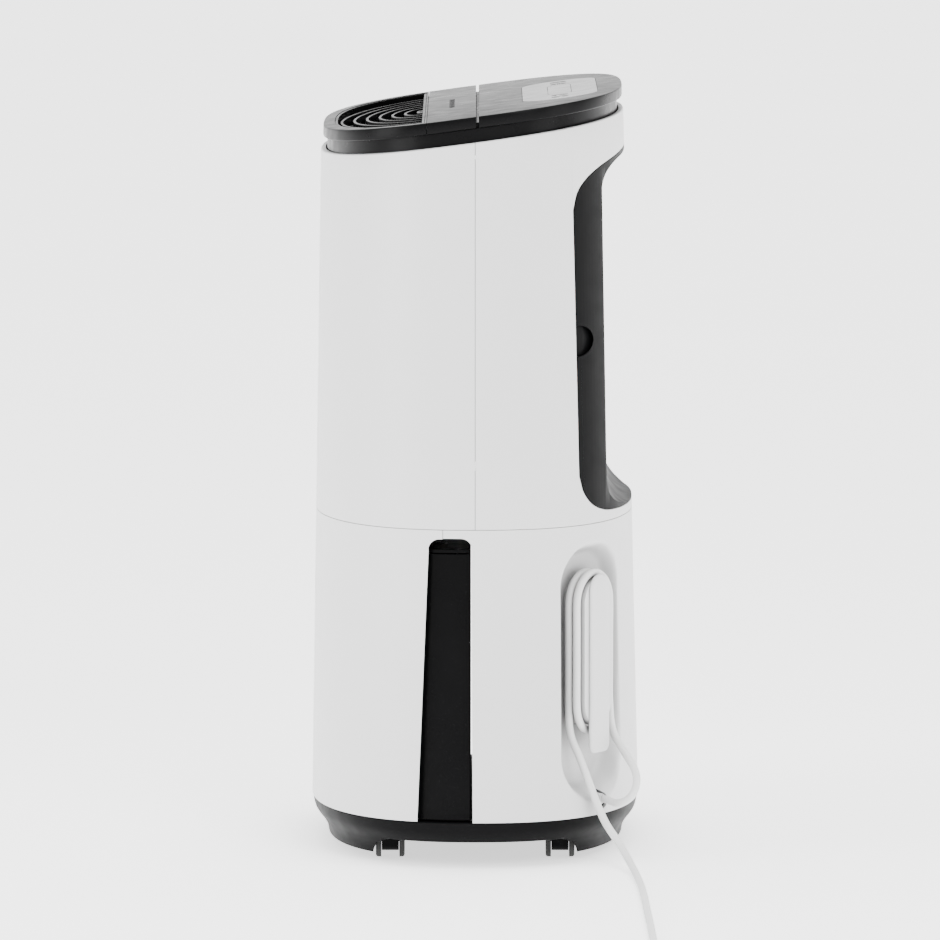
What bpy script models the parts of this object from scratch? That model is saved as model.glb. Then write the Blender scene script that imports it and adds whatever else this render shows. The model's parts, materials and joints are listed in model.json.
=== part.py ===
"""Dehumidifier with a pull-out water tank, modelled as an assembly of separate parts.

Frame: metres, +Z up, the floor at Z = 0. X is the width, the front faces -Y, and the origin is the
middle of the footprint. Rest pose: tank in, handle down, intake cover on, cord wound on its hook.
Heights are measured from a level just above the floor, and the last step lifts everything by that much.
"""
import math

import bmesh
import bpy
from mathutils import Matrix, Vector

for leftover in list(bpy.data.objects):
    bpy.data.objects.remove(leftover, do_unlink=True)

MM = 0.001

# ---- Driving dimensions -------------------------------------------------------------------------
WIDTH = 387 * MM
DEPTH = 257.4 * MM
HEIGHT = 592 * MM
FLOOR_Z = -4.2 * MM  # the floor, from the level that heights are measured from
PLINTH_TOP = 32 * MM  # where the light casing begins
SEAM_Z = 259 * MM  # joint between the tank level and the upper casing
TAPER_DEPTH = 0.922  # depth at the deck, as a share of the depth at the plinth
TAPER_WIDTH = 0.985
LEAN = -2.1 * MM  # how far forwards the casing's middle has moved by the time it reaches the deck
SLOPE = 0.134  # the deck rises towards the back by this much per unit of depth
DECK_DEPTH = 19.8 * MM  # from the casing's top edge up to the deck surface
WALL = 2.5 * MM
GAP = 0.3 * MM
PLAN_POWER = 2.4  # exponent of the superellipse that the casing's plan follows
DECK_POWER = 2.87  # the deck's plan is a little squarer than the casing's
SIDES = 60  # points round the casing's plan

DECK_HALF_DEPTH = 116.9 * MM
# Height of the casing's sloping top edge at Y = 0, from the overall height at the deck's back edge.
EDGE_Z = HEIGHT - DECK_DEPTH - SLOPE * (DECK_HALF_DEPTH + LEAN)
DECK_HALF_WIDTH = WIDTH / 2 * TAPER_WIDTH - 1.7 * MM
DECK_NORMAL = Vector((0, -SLOPE, 1)).normalized()

# Rear intake: where the flat grille plane stands, and how the scoop opens to the outer surface.
INTAKE_TOP = 544 * MM
INTAKE_FLOOR = 265 * MM
SCOOP_RADIUS = 24 * MM

# Cord recess in the lower rear corner. Its frame: t runs along the wall, n points out of it.
RECESS_ANGLE = math.radians(56)
RECESS_OUT = Vector((math.cos(RECESS_ANGLE), math.sin(RECESS_ANGLE), 0))
RECESS_ALONG = Vector((-math.sin(RECESS_ANGLE), math.cos(RECESS_ANGLE), 0))
RECESS_ORIGIN = Vector((142.7, 94.3, 0)) * MM
RECESS_MIDDLE_Z = 145.5 * MM
RECESS_FLOOR = -19 * MM
WINDINGS_Z = 158.8 * MM
EXIT_ALONG = 4 * MM  # the cord's exit, in the recess's frame
EXIT_Z = 43.5 * MM

CORD = 6 * MM  # cord diameter
WIND_RADIUS = 23 * MM  # bend radius of the cord's centre on the hook
WIND_STRAIGHT = 77 * MM  # straight stretch between the hook's two bends
COIL_CENTRE = Vector((686 * MM, 95 * MM, FLOOR_Z))
COIL_RADIUS = 33 * MM  # to the middle of the coil's turns

CASTER_X = 118 * MM
CASTER_Y = 66 * MM
CASTER_TRAIL = 6 * MM
WHEEL_RADIUS = 14 * MM

FAN_Z = 400 * MM
FLOAT_PIVOT = Vector((58, -60, 232)) * MM


# ---- Materials ----------------------------------------------------------------------------------
def material(name, colour, roughness, metallic=0.0):
    made = bpy.data.materials.new(name)
    made.use_nodes = True
    shader = made.node_tree.nodes["Principled BSDF"]
    shader.inputs["Base Color"].default_value = (*colour, 1)
    shader.inputs["Roughness"].default_value = roughness
    shader.inputs["Metallic"].default_value = metallic
    return made


CASING = material("casing_white", (0.72, 0.72, 0.72), 0.45)
BLACK = material("black_plastic", (0.012, 0.012, 0.013), 0.42)
DECK = material("deck_black", (0.02, 0.02, 0.022), 0.22)
GLOSS = material("panel_gloss", (0.03, 0.03, 0.033), 0.08)
TANK = material("smoked_tank", (0.02, 0.02, 0.022), 0.15)
LEAD = material("cord_white", (0.7, 0.7, 0.69), 0.5)
RUBBER = material("rubber", (0.02, 0.02, 0.02), 0.8)
METAL = material("steel", (0.6, 0.6, 0.61), 0.35, 1.0)
COPPER = material("copper", (0.8, 0.42, 0.28), 0.3, 1.0)
FINS = material("aluminium_fins", (0.75, 0.76, 0.77), 0.4, 1.0)
BOARD = material("circuit_board", (0.02, 0.16, 0.06), 0.5)
PAINTED = material("compressor_black", (0.02, 0.02, 0.02), 0.35)
INNER = material("inner_grey", (0.35, 0.35, 0.36), 0.55)
FLOAT = material("float_white", (0.7, 0.72, 0.75), 0.6)


# ---- Mesh helpers -------------------------------------------------------------------------------
def add_object(name, mesh, look=None):
    thing = bpy.data.objects.new(name, mesh)
    bpy.context.scene.collection.objects.link(thing)
    if look:
        mesh.materials.append(look)
        mesh.shade_smooth()
        mesh.set_sharp_from_angle(angle=math.radians(30))
    else:
        thing.hide_render = True
        thing.display_type = "WIRE"
    return thing


def from_rings(name, rings, look=None, closed=False):
    """Skin rings of equal length, from bottom to top, anticlockwise seen from above.

    Closed joins the last ring to the first, which makes a tube with a wall; otherwise the two end
    rings are capped.
    """
    count = len(rings[0])
    points = [point for ring in rings for point in ring]
    pairs = list(zip(range(len(rings) - 1), range(1, len(rings))))
    if closed:
        pairs.append((len(rings) - 1, 0))
    faces = []
    for low, high in pairs:
        for i in range(count):
            j = (i + 1) % count
            faces.append((low * count + i, low * count + j, high * count + j, high * count + i))
    if not closed:
        faces.append(tuple(reversed(range(count))))
        top = (len(rings) - 1) * count
        faces.append(tuple(range(top, top + count)))
    mesh = bpy.data.meshes.new(name)
    mesh.from_pydata([tuple(point) for point in points], [], faces)
    return add_object(name, mesh, look)


def boxes(name, *corner_pairs, look=None):
    """One object made of axis-aligned boxes, each given by its low and high corner in mm."""
    shape = bmesh.new()
    for low, high in corner_pairs:
        low, high = Vector(low) * MM, Vector(high) * MM
        fit = Matrix.Translation((low + high) / 2) @ Matrix.Diagonal((*(high - low), 1))
        bmesh.ops.create_cube(shape, size=1, matrix=fit)
    mesh = bpy.data.meshes.new(name)
    shape.to_mesh(mesh)
    shape.free()
    return add_object(name, mesh, look)


def rod(name, centre, radius, length, axis=(0, 0, 1), look=None, sides=24, tip_radius=None):
    """A straight or tapered round bar about its centre; tip_radius is the radius at the axis's far end."""
    shape = bmesh.new()
    turn = Vector((0, 0, 1)).rotation_difference(Vector(axis)).to_matrix().to_4x4()
    bmesh.ops.create_cone(
        shape,
        cap_ends=True,
        segments=sides,
        radius1=radius,
        radius2=radius if tip_radius is None else tip_radius,
        depth=length,
        matrix=Matrix.Translation(centre) @ turn,
    )
    mesh = bpy.data.meshes.new(name)
    shape.to_mesh(mesh)
    shape.free()
    return add_object(name, mesh, look)


def turned(name, profile, centre, axis=(0, 0, 1), look=None, sides=36):
    """A closed (radius, height) profile, anticlockwise with radius to the right, turned about an axis.

    Profile points that lie on the axis have radius 0 and become one point.
    """
    turn = Vector((0, 0, 1)).rotation_difference(Vector(axis)).to_matrix()
    shape = bmesh.new()
    rings = []
    for radius, height in profile:
        if radius == 0:
            rings.append([shape.verts.new(turn @ Vector((0, 0, height)) + centre)])
            continue
        ring = []
        for i in range(sides):
            angle = math.tau * i / sides
            place = Vector((radius * math.cos(angle), radius * math.sin(angle), height))
            ring.append(shape.verts.new(turn @ place + centre))
        rings.append(ring)
    for ring, following in zip(rings, rings[1:] + rings[:1]):
        for i in range(sides):
            j = (i + 1) % sides
            corners = [ring[i % len(ring)], ring[j % len(ring)]]
            corners += [following[j % len(following)], following[i % len(following)]]
            corners = list(dict.fromkeys(corners))
            if len(corners) > 2:
                shape.faces.new(corners)
    mesh = bpy.data.meshes.new(name)
    shape.to_mesh(mesh)
    shape.free()
    return add_object(name, mesh, look)


def extruded(name, outline, place, start, end, look=None):
    """An outline of 2D points, swept from start to end; place(u, v, w) turns it into a 3D point."""
    rings = [[place(u, v, w) for u, v in outline] for w in (start, end)]
    return from_rings(name, rings, look)


def boolean(thing, cutter, operation="DIFFERENCE", overlapping=False):
    change = thing.modifiers.new(operation.lower(), "BOOLEAN")
    change.operation = operation
    change.solver = "EXACT"
    change.use_self = overlapping
    change.object = cutter
    cutter.hide_render = True
    cutter.display_type = "WIRE"
    return thing


def keep_inside(thing, *cutters):
    for cutter in cutters:
        boolean(thing, cutter, "INTERSECT")
    return thing


def cut(thing, *cutters):
    for cutter in cutters:
        boolean(thing, cutter)
    return thing


def join(thing, *others):
    for other in others:
        boolean(thing, other, "UNION")
    return thing


def tube(name, route, diameter, look):
    """A round tube with flat ends along a smooth curve through the route's points."""
    curve = bpy.data.curves.new(name, "CURVE")
    curve.dimensions = "3D"
    curve.bevel_depth = diameter / 2
    curve.bevel_resolution = 2
    curve.use_fill_caps = True
    line = curve.splines.new("POLY")
    points = smooth_line(route, 2.5 * CORD)
    line.points.add(len(points) - 1)
    for spot, point in zip(line.points, points):
        spot.co = (*point, 1)
    curve.materials.append(look)
    thing = bpy.data.objects.new(name, curve)
    bpy.context.scene.collection.objects.link(thing)
    return thing


def smooth_line(route, step):
    """Points about a step apart on the centripetal Catmull-Rom curve through the route."""
    ends = [2 * route[0] - route[1], *route, 2 * route[-1] - route[-2]]
    line = []
    for a, b, c, d in zip(ends, ends[1:], ends[2:], ends[3:]):
        knots = [0.0]
        for p, q in ((a, b), (b, c), (c, d)):
            knots.append(knots[-1] + math.sqrt((q - p).length))
        count = max(1, round((c - b).length / step))
        for i in range(count):
            line.append(catmull_rom((a, b, c, d), knots, knots[1] + (knots[2] - knots[1]) * i / count))
    return [*line, route[-1]]


def catmull_rom(points, knots, at):
    level = list(points)
    for width in (1, 2, 3):
        blended = []
        for i in range(len(level) - 1):
            low, high = (1, 2) if width == 3 else (i, i + width)
            share = (at - knots[low]) / (knots[high] - knots[low])
            blended.append(level[i].lerp(level[i + 1], share))
        level = blended
    return level[0]


# ---- Joints -------------------------------------------------------------------------------------
def hang_on_axis(name, spot, *pieces):
    """Parent pieces to an empty on their joint's axis, leaving them where they are."""
    axis = bpy.data.objects.new(name, None)
    bpy.context.scene.collection.objects.link(axis)
    axis.location = spot
    for piece in pieces:
        child = bpy.data.objects[piece]
        child.parent = axis
        child.matrix_parent_inverse = Matrix.Translation(-spot)


def joint_axes():
    hang_on_axis("float_pivot", FLOAT_PIVOT, "tank_float")
    hang_on_axis(
        "tank_slide", Vector((0, 0, PLINTH_TOP)), "tank_tub", "tank_fascia", "tank_lid", "float_pivot"
    )
    hang_on_axis("handle_slide", Vector((0, 0, EDGE_Z)), "carry_handle")
    louvre = ("intake_cover", "filter_screen", "finger_cup_right", "finger_cup_left")
    hang_on_axis("intake_slide", Vector((0, 0, INTAKE_FLOOR)), *louvre)
    hang_on_axis("fan_axis", Vector((0, 0, FAN_Z)), "fan_impeller")
    for name, x in BUTTONS:
        hang_on_axis(name + "_travel", tilted(x, 66, 17.6), name)


def lift_onto_floor():
    floor = bpy.data.objects.new("floor_level", None)
    bpy.context.scene.collection.objects.link(floor)
    floor.location.z = -FLOOR_Z
    for thing in bpy.data.objects:
        if thing != floor and not thing.parent:
            thing.parent = floor


# ---- Outlines -----------------------------------------------------------------------------------
def superellipse(half_width, half_depth, power, count=SIDES):
    points = []
    for i in range(count):
        angle = math.tau * i / count
        cos, sin = math.cos(angle), math.sin(angle)
        reach = (abs(cos) ** power + abs(sin) ** power) ** (-1 / power)
        points.append((half_width * cos * reach, half_depth * sin * reach))
    return points


def casing_ring(z, inset=0.0, slope=0.0):
    """The casing's plan at a height, or on a plane that rises towards the back by the slope."""
    ring = []
    for x, y in superellipse(1, 1, PLAN_POWER):
        share = max(0.0, (z + slope * y * DEPTH / 2 - PLINTH_TOP) / (EDGE_Z - PLINTH_TOP))
        half_width = WIDTH / 2 * (1 + (TAPER_WIDTH - 1) * share) - inset
        half_depth = DEPTH / 2 * (1 + (TAPER_DEPTH - 1) * share) - inset
        depth = y * half_depth + LEAN * share
        ring.append(Vector((x * half_width, depth, z + slope * depth)))
    return ring


def deck_ring(height, inset=0.0):
    """The deck's outline on the sloping plane at a height above the casing's top edge."""
    plan = superellipse(DECK_HALF_WIDTH - inset, DECK_HALF_DEPTH - inset, DECK_POWER)
    return [deck_point(x, y + LEAN, height) for x, y in plan]


def deck_point(x, y, height):
    return Vector((x, y, EDGE_Z + SLOPE * y + height))


def stadium(width, depth, count=10):
    """A bar with round ends, its long side along the first axis."""
    radius = depth / 2
    points = []
    for end in (0, 1):
        shift = (width / 2 - radius) * (1 - 2 * end)
        for i in range(count + 1):
            angle = -math.pi / 2 + math.pi * (i / count + end)
            points.append((shift + radius * math.cos(angle), radius * math.sin(angle)))
    return points


def rounded_box(width, depth, radius, count=5):
    points = []
    for quarter in range(4):
        side_x = 1 if quarter in (0, 3) else -1
        side_y = 1 if quarter in (0, 1) else -1
        for i in range(count + 1):
            angle = math.pi / 2 * (quarter + i / count)
            points.append(
                (
                    side_x * (width / 2 - radius) + radius * math.cos(angle),
                    side_y * (depth / 2 - radius) + radius * math.sin(angle),
                )
            )
    return points


def arc(centre, radius, start, end, count=6):
    """Points on an arc between two angles in degrees."""
    points = []
    for i in range(count + 1):
        angle = math.radians(start + (end - start) * i / count)
        points.append((centre[0] + radius * math.cos(angle), centre[1] + radius * math.sin(angle)))
    return points


def side_view(y, z, x):
    return Vector((x, y, z))


def in_recess(t, n, z):
    return RECESS_ORIGIN + RECESS_ALONG * t + RECESS_OUT * n + Vector((0, 0, z))


BIG = 400  # mm, past the whole object


# ---- Casing -------------------------------------------------------------------------------------
def casing_tube(name, low, high, look, outer=0.0, wall=WALL):
    rings = [casing_ring(low, outer), casing_ring(high, outer)]
    rings += [casing_ring(high, outer + wall), casing_ring(low, outer + wall)]
    return from_rings(name, rings, look, closed=True)


LIP = 4  # mm, how far the casing's top edge turns inwards


def upper_outside():
    """The upper casing's outer surface, from the seam to its eased top edge."""
    return [
        casing_ring(SEAM_Z + GAP / 2),
        casing_ring(EDGE_Z - 1 * MM, slope=SLOPE),
        casing_ring(EDGE_Z, 0.6 * MM, slope=SLOPE),
    ]


def upper_hollow(name):
    rings = [casing_ring(SEAM_Z - 20 * MM, WALL), casing_ring(EDGE_Z - 4 * MM, WALL, SLOPE)]
    rings += [casing_ring(EDGE_Z + height * MM, LIP * MM, SLOPE) for height in (-2, 20)]
    return from_rings(name, rings)


def front_shell():
    shell = from_rings("front_shell", upper_outside(), CASING)
    cut(shell, upper_hollow("front_hollow"))
    keep_inside(shell, boxes("front_half", ((-BIG, -BIG, -BIG), (BIG, -0.15, 2 * BIG))))


def scoop_outline(offset):
    """Side view of the space behind the casing's back: the scoop that the intake opens into."""
    flat = 98.0 - offset
    lean = 4.0  # the flat face leans back towards its foot
    top = INTAKE_TOP / MM - 2 + offset
    foot = INTAKE_FLOOR / MM + 1 - offset
    radius = SCOOP_RADIUS / MM + offset
    points = [(BIG, top + 4), (118, top - 1)]
    points += [(flat + radius + x, top - radius - 2 + z) for x, z in arc((0, 0), radius, 110, 180, 5)]
    points += [(flat + lean + radius + x, foot + radius + z) for x, z in arc((0, 0), radius, 180, 255, 5)]
    points += [(BIG, foot - 3)]
    return [(y * MM, z * MM) for y, z in points]


def intake_outline(grow):
    """Side view of the intake cover: straight front edge, corners swept back to the ledges."""
    front_top = (75.5 - grow) * MM
    front_foot = (80.5 - grow) * MM
    grown = grow * MM
    points = [(BIG * MM, INTAKE_TOP + 34 * MM + grown), (117 * MM, INTAKE_TOP + grown)]
    points += [(96 * MM, 534 * MM + grown), (86 * MM, 526.5 * MM + grown), (79 * MM - grown, 517 * MM)]
    points += [(front_top, 503 * MM), (front_foot, 297 * MM)]
    points += [(84 * MM - grown, 284 * MM), (91 * MM - grown, 274 * MM - grown)]
    points += [(101 * MM, INTAKE_FLOOR + 3 * MM - grown), (112 * MM, INTAKE_FLOOR + 1.4 * MM - grown)]
    points += [(BIG * MM, INTAKE_FLOOR + 1.4 * MM - grown)]
    return points


def rear_upper_shells():
    """The rear upper casing and the intake cover, cut from one scooped wall."""
    behind = boxes("rear_half", ((-BIG, 0.15, -BIG), (BIG, BIG, 2 * BIG)))
    scoop = extruded("scoop", scoop_outline(0), side_view, -BIG * MM, BIG * MM)
    scoop_inner = extruded("scoop_inner", scoop_outline(WALL / MM), side_view, -BIG * MM, BIG * MM)
    hollow = cut(upper_hollow("rear_hollow"), scoop_inner)
    notch = rod(
        "finger_notch", Vector((0, 79 * MM, 401.5 * MM)), 12 * MM, 2 * BIG * MM, (1, 0, 0), sides=20
    )
    for name, look, grow in (("rear_upper_shell", CASING, 0.3), ("intake_cover", BLACK, 0.0)):
        shell = from_rings(name, upper_outside(), look)
        keep_inside(shell, behind)
        cut(shell, hollow, scoop)
        window = extruded(
            name + "_window", intake_outline(grow), side_view, -BIG * MM, BIG * MM
        )
        if name == "intake_cover":
            keep_inside(shell, window)
            cut(shell, notch)
            cut_grille_slots(shell)
        else:
            cut(shell, window)


def finger_cups():
    """The dark backs of the two finger notches, on the inside of the cover's edge."""
    for side, name in ((1, "finger_cup_right"), (-1, "finger_cup_left")):
        rings = [casing_ring(380 * MM, 3 * MM), casing_ring(423 * MM, 3 * MM)]
        rings += [casing_ring(423 * MM, 5 * MM), casing_ring(380 * MM, 5 * MM)]
        cup = from_rings(name, rings, BLACK, closed=True)
        middle = Vector((side * 150, 81, 401.5)) * MM
        keep_inside(cup, rod(name + "_edge", middle, 15 * MM, 100 * MM, (1, 0, 0), sides=20))


def cut_grille_slots(cover):
    """Horizontal air slots through the cover's flat back face, in two columns."""
    slots = []
    count, pitch, height, low = 14, 15.0, 10.0, 296.0
    for row in range(count):
        z = low + row * pitch
        for x in (-118, 3):
            slots.append(((x, 80, z), (x + 115, 130, z + height)))
    cut(cover, boxes("intake_slots", *slots))


def recess_cutter(name, grow):
    """The cord recess: a rounded pocket whose mouth flares softly into the wall."""
    stations = [(-19.0, 60, 172, 24), (-16.5, 67, 179, 27), (-6, 76, 190, 30), (0, 84, 198, 32)]
    stations += [(6, 98, 214, 34), (40, 120, 240, 36)]
    rings = []
    for index, (n, wide, tall, radius) in enumerate(stations):
        depth = n - grow if index == 0 else n
        outline = rounded_box(wide + 2 * grow, tall + 2 * grow, radius + grow, 4)
        rings.append([in_recess(t * MM, depth * MM, RECESS_MIDDLE_Z + z * MM) for t, z in outline])
    return from_rings(name, rings)


def exit_tunnel(name, grow):
    start, end = (-20 - grow) * MM, 40 * MM
    centre = in_recess(EXIT_ALONG, (start + end) / 2, EXIT_Z)
    return rod(name, centre, (7.5 + grow) * MM, end - start, RECESS_OUT, sides=20)


def rear_lower_shell():
    low, high = PLINTH_TOP, SEAM_Z - GAP / 2
    shell = from_rings("rear_lower_shell", [casing_ring(low), casing_ring(high)], CASING)
    hollow = from_rings(
        "lower_hollow", [casing_ring(low - 10 * MM, WALL), casing_ring(high + 10 * MM, WALL)]
    )
    cut(hollow, recess_cutter("recess_back", WALL / MM), exit_tunnel("tunnel_back", WALL / MM))
    cut(shell, hollow, recess_cutter("recess", 0), exit_tunnel("tunnel", 0))
    keep_inside(shell, boxes("behind_channel", ((-BIG, -2.1, -BIG), (BIG, BIG, BIG))))


def partition():
    wall = from_rings(
        "bay_partition",
        [casing_ring(PLINTH_TOP + 0.5 * MM, 3.2 * MM), casing_ring(SEAM_Z - 0.5 * MM, 3.2 * MM)],
        INNER,
    )
    keep_inside(wall, boxes("partition_slab", ((-BIG, 0.5, -BIG), (BIG, 3, BIG))))


BAND_LOW = 252.3  # mm, underside of the roof over the tank
CHANNEL_CORNER = 8.5  # mm, radius of the side channels' top corners


def bay_roof():
    """The roof over the tank, with the narrow band that shows above each side channel."""
    low, plate_top = BAND_LOW * MM, (BAND_LOW + 2.5) * MM
    span = (-24.7, -2.4)
    roof = from_rings("tank_bay_roof", [casing_ring(low, 1 * MM), casing_ring(plate_top, 1 * MM)], CASING)
    keep_inside(roof, boxes("roof_rear", ((-BIG, span[0], -BIG), (BIG, span[1], BIG))))
    front = from_rings("roof_front", [casing_ring(low, 10 * MM), casing_ring(plate_top, 10 * MM)])
    keep_inside(front, boxes("roof_front_span", ((-BIG, -112, -BIG), (BIG, -20, BIG))))
    band = casing_tube("roof_band", 240 * MM, SEAM_Z - GAP / 2, None, wall=3 * MM)
    corner = (span[1] - CHANNEL_CORNER, BAND_LOW - CHANNEL_CORNER)
    outline = [(span[0], BAND_LOW)] + arc(corner, CHANNEL_CORNER, 90, 0, 5)
    outline += [(span[1], BIG), (span[0], BIG)]
    side = extruded(
        "roof_band_side", [(y * MM, z * MM) for y, z in outline], side_view, -BIG * MM, BIG * MM
    )
    keep_inside(band, side)
    join(roof, front, band)
    cut(roof, rod("drip_hole", Vector((0, -30 * MM, 255 * MM)), 11 * MM, 30 * MM))


# ---- Base and casters ---------------------------------------------------------------------------
def plinth():
    skirt = [(2.6, 13.0), (6.7, 12.3), (10.7, 11.0), (13.2, 9.6), (15.7, 8.0), (18.7, 5.6), (21.7, 3.4)]
    skirt += [(25.0, 1.8), (31.7, 0.8)]
    base = from_rings("base_plinth", [casing_ring(z * MM, inset * MM) for z, inset in skirt], BLACK)
    inner = [(-2.0, 16.2), (6.7, 15.4), (13.2, 13.0), (18.7, 9.2), (23.7, 5.6), (29.2, 4.4)]
    hollow = from_rings("plinth_hollow", [casing_ring(z * MM, inset * MM) for z, inset in inner])
    arch = [(-79, -15)]
    arch += [(-64 - 15 * math.cos(a), 1.8 + 14 * math.sin(a)) for a in quarter_steps()]
    arch += [(64 + 15 * math.cos(a), 1.8 + 14 * math.sin(a)) for a in reversed(quarter_steps())]
    arch += [(79, -15)]
    raised = extruded(
        "skirt_arch", [(y * MM, z * MM) for y, z in reversed(arch)], side_view, -BIG * MM, BIG * MM
    )
    bosses = []
    bores = []
    for side_x, side_y in CORNERS:
        spot = Vector((side_x * CASTER_X, side_y * CASTER_Y, 23.4 * MM))
        bosses.append(rod("caster_boss", spot, 6.7 * MM, 13.2 * MM, sides=16))
        bores.append(rod("caster_bore", spot - Vector((0, 0, 5.1 * MM)), 4.4 * MM, 11 * MM, sides=16))
    cut(base, hollow, raised)
    join(base, *bosses)
    cut(base, *bores)


def quarter_steps(count=5):
    return [math.pi / 2 * i / count for i in range(count + 1)]


CORNERS = ((1, -1), (1, 1), (-1, -1), (-1, 1))
CORNER_NAMES = ("front_right", "rear_right", "front_left", "rear_left")


def casters():
    for (side_x, side_y), corner in zip(CORNERS, CORNER_NAMES):
        swivel = Vector((side_x * CASTER_X, side_y * CASTER_Y, FLOOR_Z))
        hub = swivel + Vector((side_x * CASTER_TRAIL, 0, WHEEL_RADIUS))
        outline = arc((0, 0), 9 * MM, 150, 360, 10) + arc((0, 0), 9 * MM, 0, 40, 2)
        outline += [(-1 * MM, 6.3 * MM), (-11 * MM, 6.3 * MM)]
        if side_x < 0:
            outline = [(-u, v) for u, v in reversed(outline)]
        web = extruded(
            "caster_body_" + corner,
            outline,
            lambda u, v, w: Vector((hub.x + u, hub.y - w, hub.z + v)),
            -6.6 * MM,
            6.6 * MM,
            BLACK,
        )
        stem = rod("caster_stem", swivel + Vector((0, 0, 21.5 * MM)), 4 * MM, 9.4 * MM, sides=16)
        join(web, stem)
        cut(web, rod("axle_bore", hub, 2.3 * MM, 40 * MM, (0, 1, 0), sides=12))
        half = 11.2 * MM
        inner = 7.1 * MM
        profile = [(0, -half), (WHEEL_RADIUS - 1.4 * MM, -half), (WHEEL_RADIUS, -half + 1.2 * MM)]
        profile += [(WHEEL_RADIUS, -inner), (2 * MM, -inner)]
        mirrored = [(r, -z) for r, z in reversed(profile)]
        turned("caster_wheels_" + corner, profile + mirrored, hub, (0, 1, 0), RUBBER, sides=24)
        hang_on_axis("wheel_axis_" + corner, hub, "caster_wheels_" + corner)
        hang_on_axis("swivel_axis_" + corner, swivel, "caster_body_" + corner, "wheel_axis_" + corner)


# ---- Deck ---------------------------------------------------------------------------------------
def deck_collar():
    rings = []
    for height, inset in ((-10, LIP + 1), (10.5, LIP + 1), (10.5, LIP + 4), (-10, LIP + 4)):
        rings.append(casing_ring(EDGE_Z + height * MM, inset * MM, SLOPE))
    from_rings("deck_collar", rings, BLACK, closed=True)


HANDLE_FRONT = -37
HANDLE_BACK = 0.7
GRILLE_BACK = -38.6
GRILLE_MARGIN = 9 * MM


def deck_frame():
    rim = [(10.8, 1.2), (12.0, 0.0), (18.6, 0.0), (19.8, 1.2)]
    frame = from_rings("deck_frame", [deck_ring(h * MM, inset * MM) for h, inset in rim], DECK)
    opening = from_rings(
        "grille_opening", [deck_ring(0, GRILLE_MARGIN), deck_ring(40 * MM, GRILLE_MARGIN)]
    )
    keep_inside(opening, boxes("grille_span", ((-BIG, -BIG, 0), (BIG, GRILLE_BACK, 2 * BIG))))
    channel = deck_slab("handle_channel", HANDLE_FRONT - 0.35, HANDLE_BACK + 2.2, 14.8, 40, BIG)
    ends = []
    for side in (-1, 1):
        ends.append(
            deck_slab(
                "handle_end_notch",
                HANDLE_FRONT - 0.35,
                HANDLE_BACK + 2.2,
                0,
                40,
                30,
                middle=side * (DECK_HALF_WIDTH / MM - 7.3 + 30),
            )
        )
        ends.append(boxes("arm_slot", *[mirrored_x(side, (157.4, -29.8, 520), (162.2, -7.2, 600))]))
    tray = extruded("panel_tray", panel_outline(0.3), deck_point, 16.7 * MM, 40 * MM)
    window = extruded("panel_window", panel_outline(-6), deck_point, 0, 40 * MM)
    cut(frame, opening, channel, *ends, tray, window)


def mirrored_x(side, low, high):
    if side > 0:
        return low, high
    return (-high[0], low[1], low[2]), (-low[0], high[1], high[2])


def deck_slab(name, y_low, y_high, height_low, height_high, half_width, middle=0, look=None):
    """A slab across the deck between two depths, its faces along the deck's slope."""
    rings = []
    for height in (height_low, height_high):
        corners = [(-half_width, y_low), (half_width, y_low), (half_width, y_high), (-half_width, y_high)]
        rings.append([deck_point((middle + x) * MM, y * MM, height * MM) for x, y in corners])
    return from_rings(name, rings, look)


PANEL_MIDDLE = 66 * MM


def panel_outline(grow):
    points = stadium((213 + 2 * grow) * MM, (58 + 2 * grow) * MM)
    return [(x, y + PANEL_MIDDLE) for x, y in points]


def carry_handle():
    rim = [(11.1, 1.2), (12.2, 0.0), (18.6, 0.0), (19.8, 1.2)]
    handle = from_rings("carry_handle", [deck_ring(h * MM, inset * MM) for h, inset in rim], DECK)
    keep_inside(handle, boxes("handle_span", ((-BIG, HANDLE_FRONT, 0), (BIG, HANDLE_BACK, 2 * BIG))))
    under = deck_slab("under_handle", -60, 30, 0, 15.1, DECK_HALF_WIDTH / MM - 7)
    arms = []
    for side in (-1, 1):
        arms.append(boxes("handle_arm", mirrored_x(side, (158, -29, 484), (161.6, -8, 571.8))))
    cut(handle, under)
    join(handle, *arms)
    for side, name in ((1, "handle_guide_right"), (-1, "handle_guide_left")):
        guide = boxes(name, mirrored_x(side, (154.5, -33, 450), (165.1, -4, 541)), look=INNER)
        cut(guide, boxes(name + "_slot", mirrored_x(side, (157.5, -29.6, 460), (162.1, -7.4, 560))))


def grille():
    """Concentric vanes, open towards the handle, on five ribs inside a ring."""
    top, foot = 16.8, 11.4
    margin = GRILLE_MARGIN + GAP
    ring = from_rings(
        "outlet_grille",
        [deck_ring((foot - 0.4) * MM, margin), deck_ring(19.3 * MM, margin)],
        BLACK,
    )
    keep_inside(ring, boxes("ring_span", ((-BIG, -BIG, 0), (BIG, GRILLE_BACK - 0.3, 2 * BIG))))
    core = from_rings(
        "grille_core", [deck_ring(-30 * MM, margin + 2 * MM), deck_ring(50 * MM, margin + 2 * MM)]
    )
    keep_inside(core, boxes("core_span", ((-BIG, -BIG, 0), (BIG, GRILLE_BACK - 2.3, 2 * BIG))))
    cut(ring, core)
    ribs = []
    for x, reach in ((0, -106), (-60, -102.5), (60, -102.5), (-118, -86), (118, -86)):
        ribs.append(deck_slab("grille_rib", reach, GRILLE_BACK - 1.5, foot - 0.4, foot + 1.4, 1, middle=x))
    join(ring, *ribs)
    for step in range(7):
        half_depth = (6.2 + 9.95 * step) * MM
        half_width = (16 + 21.5 * step) * MM
        join(ring, grille_vane(half_width, half_depth, foot * MM, top * MM))


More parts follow.
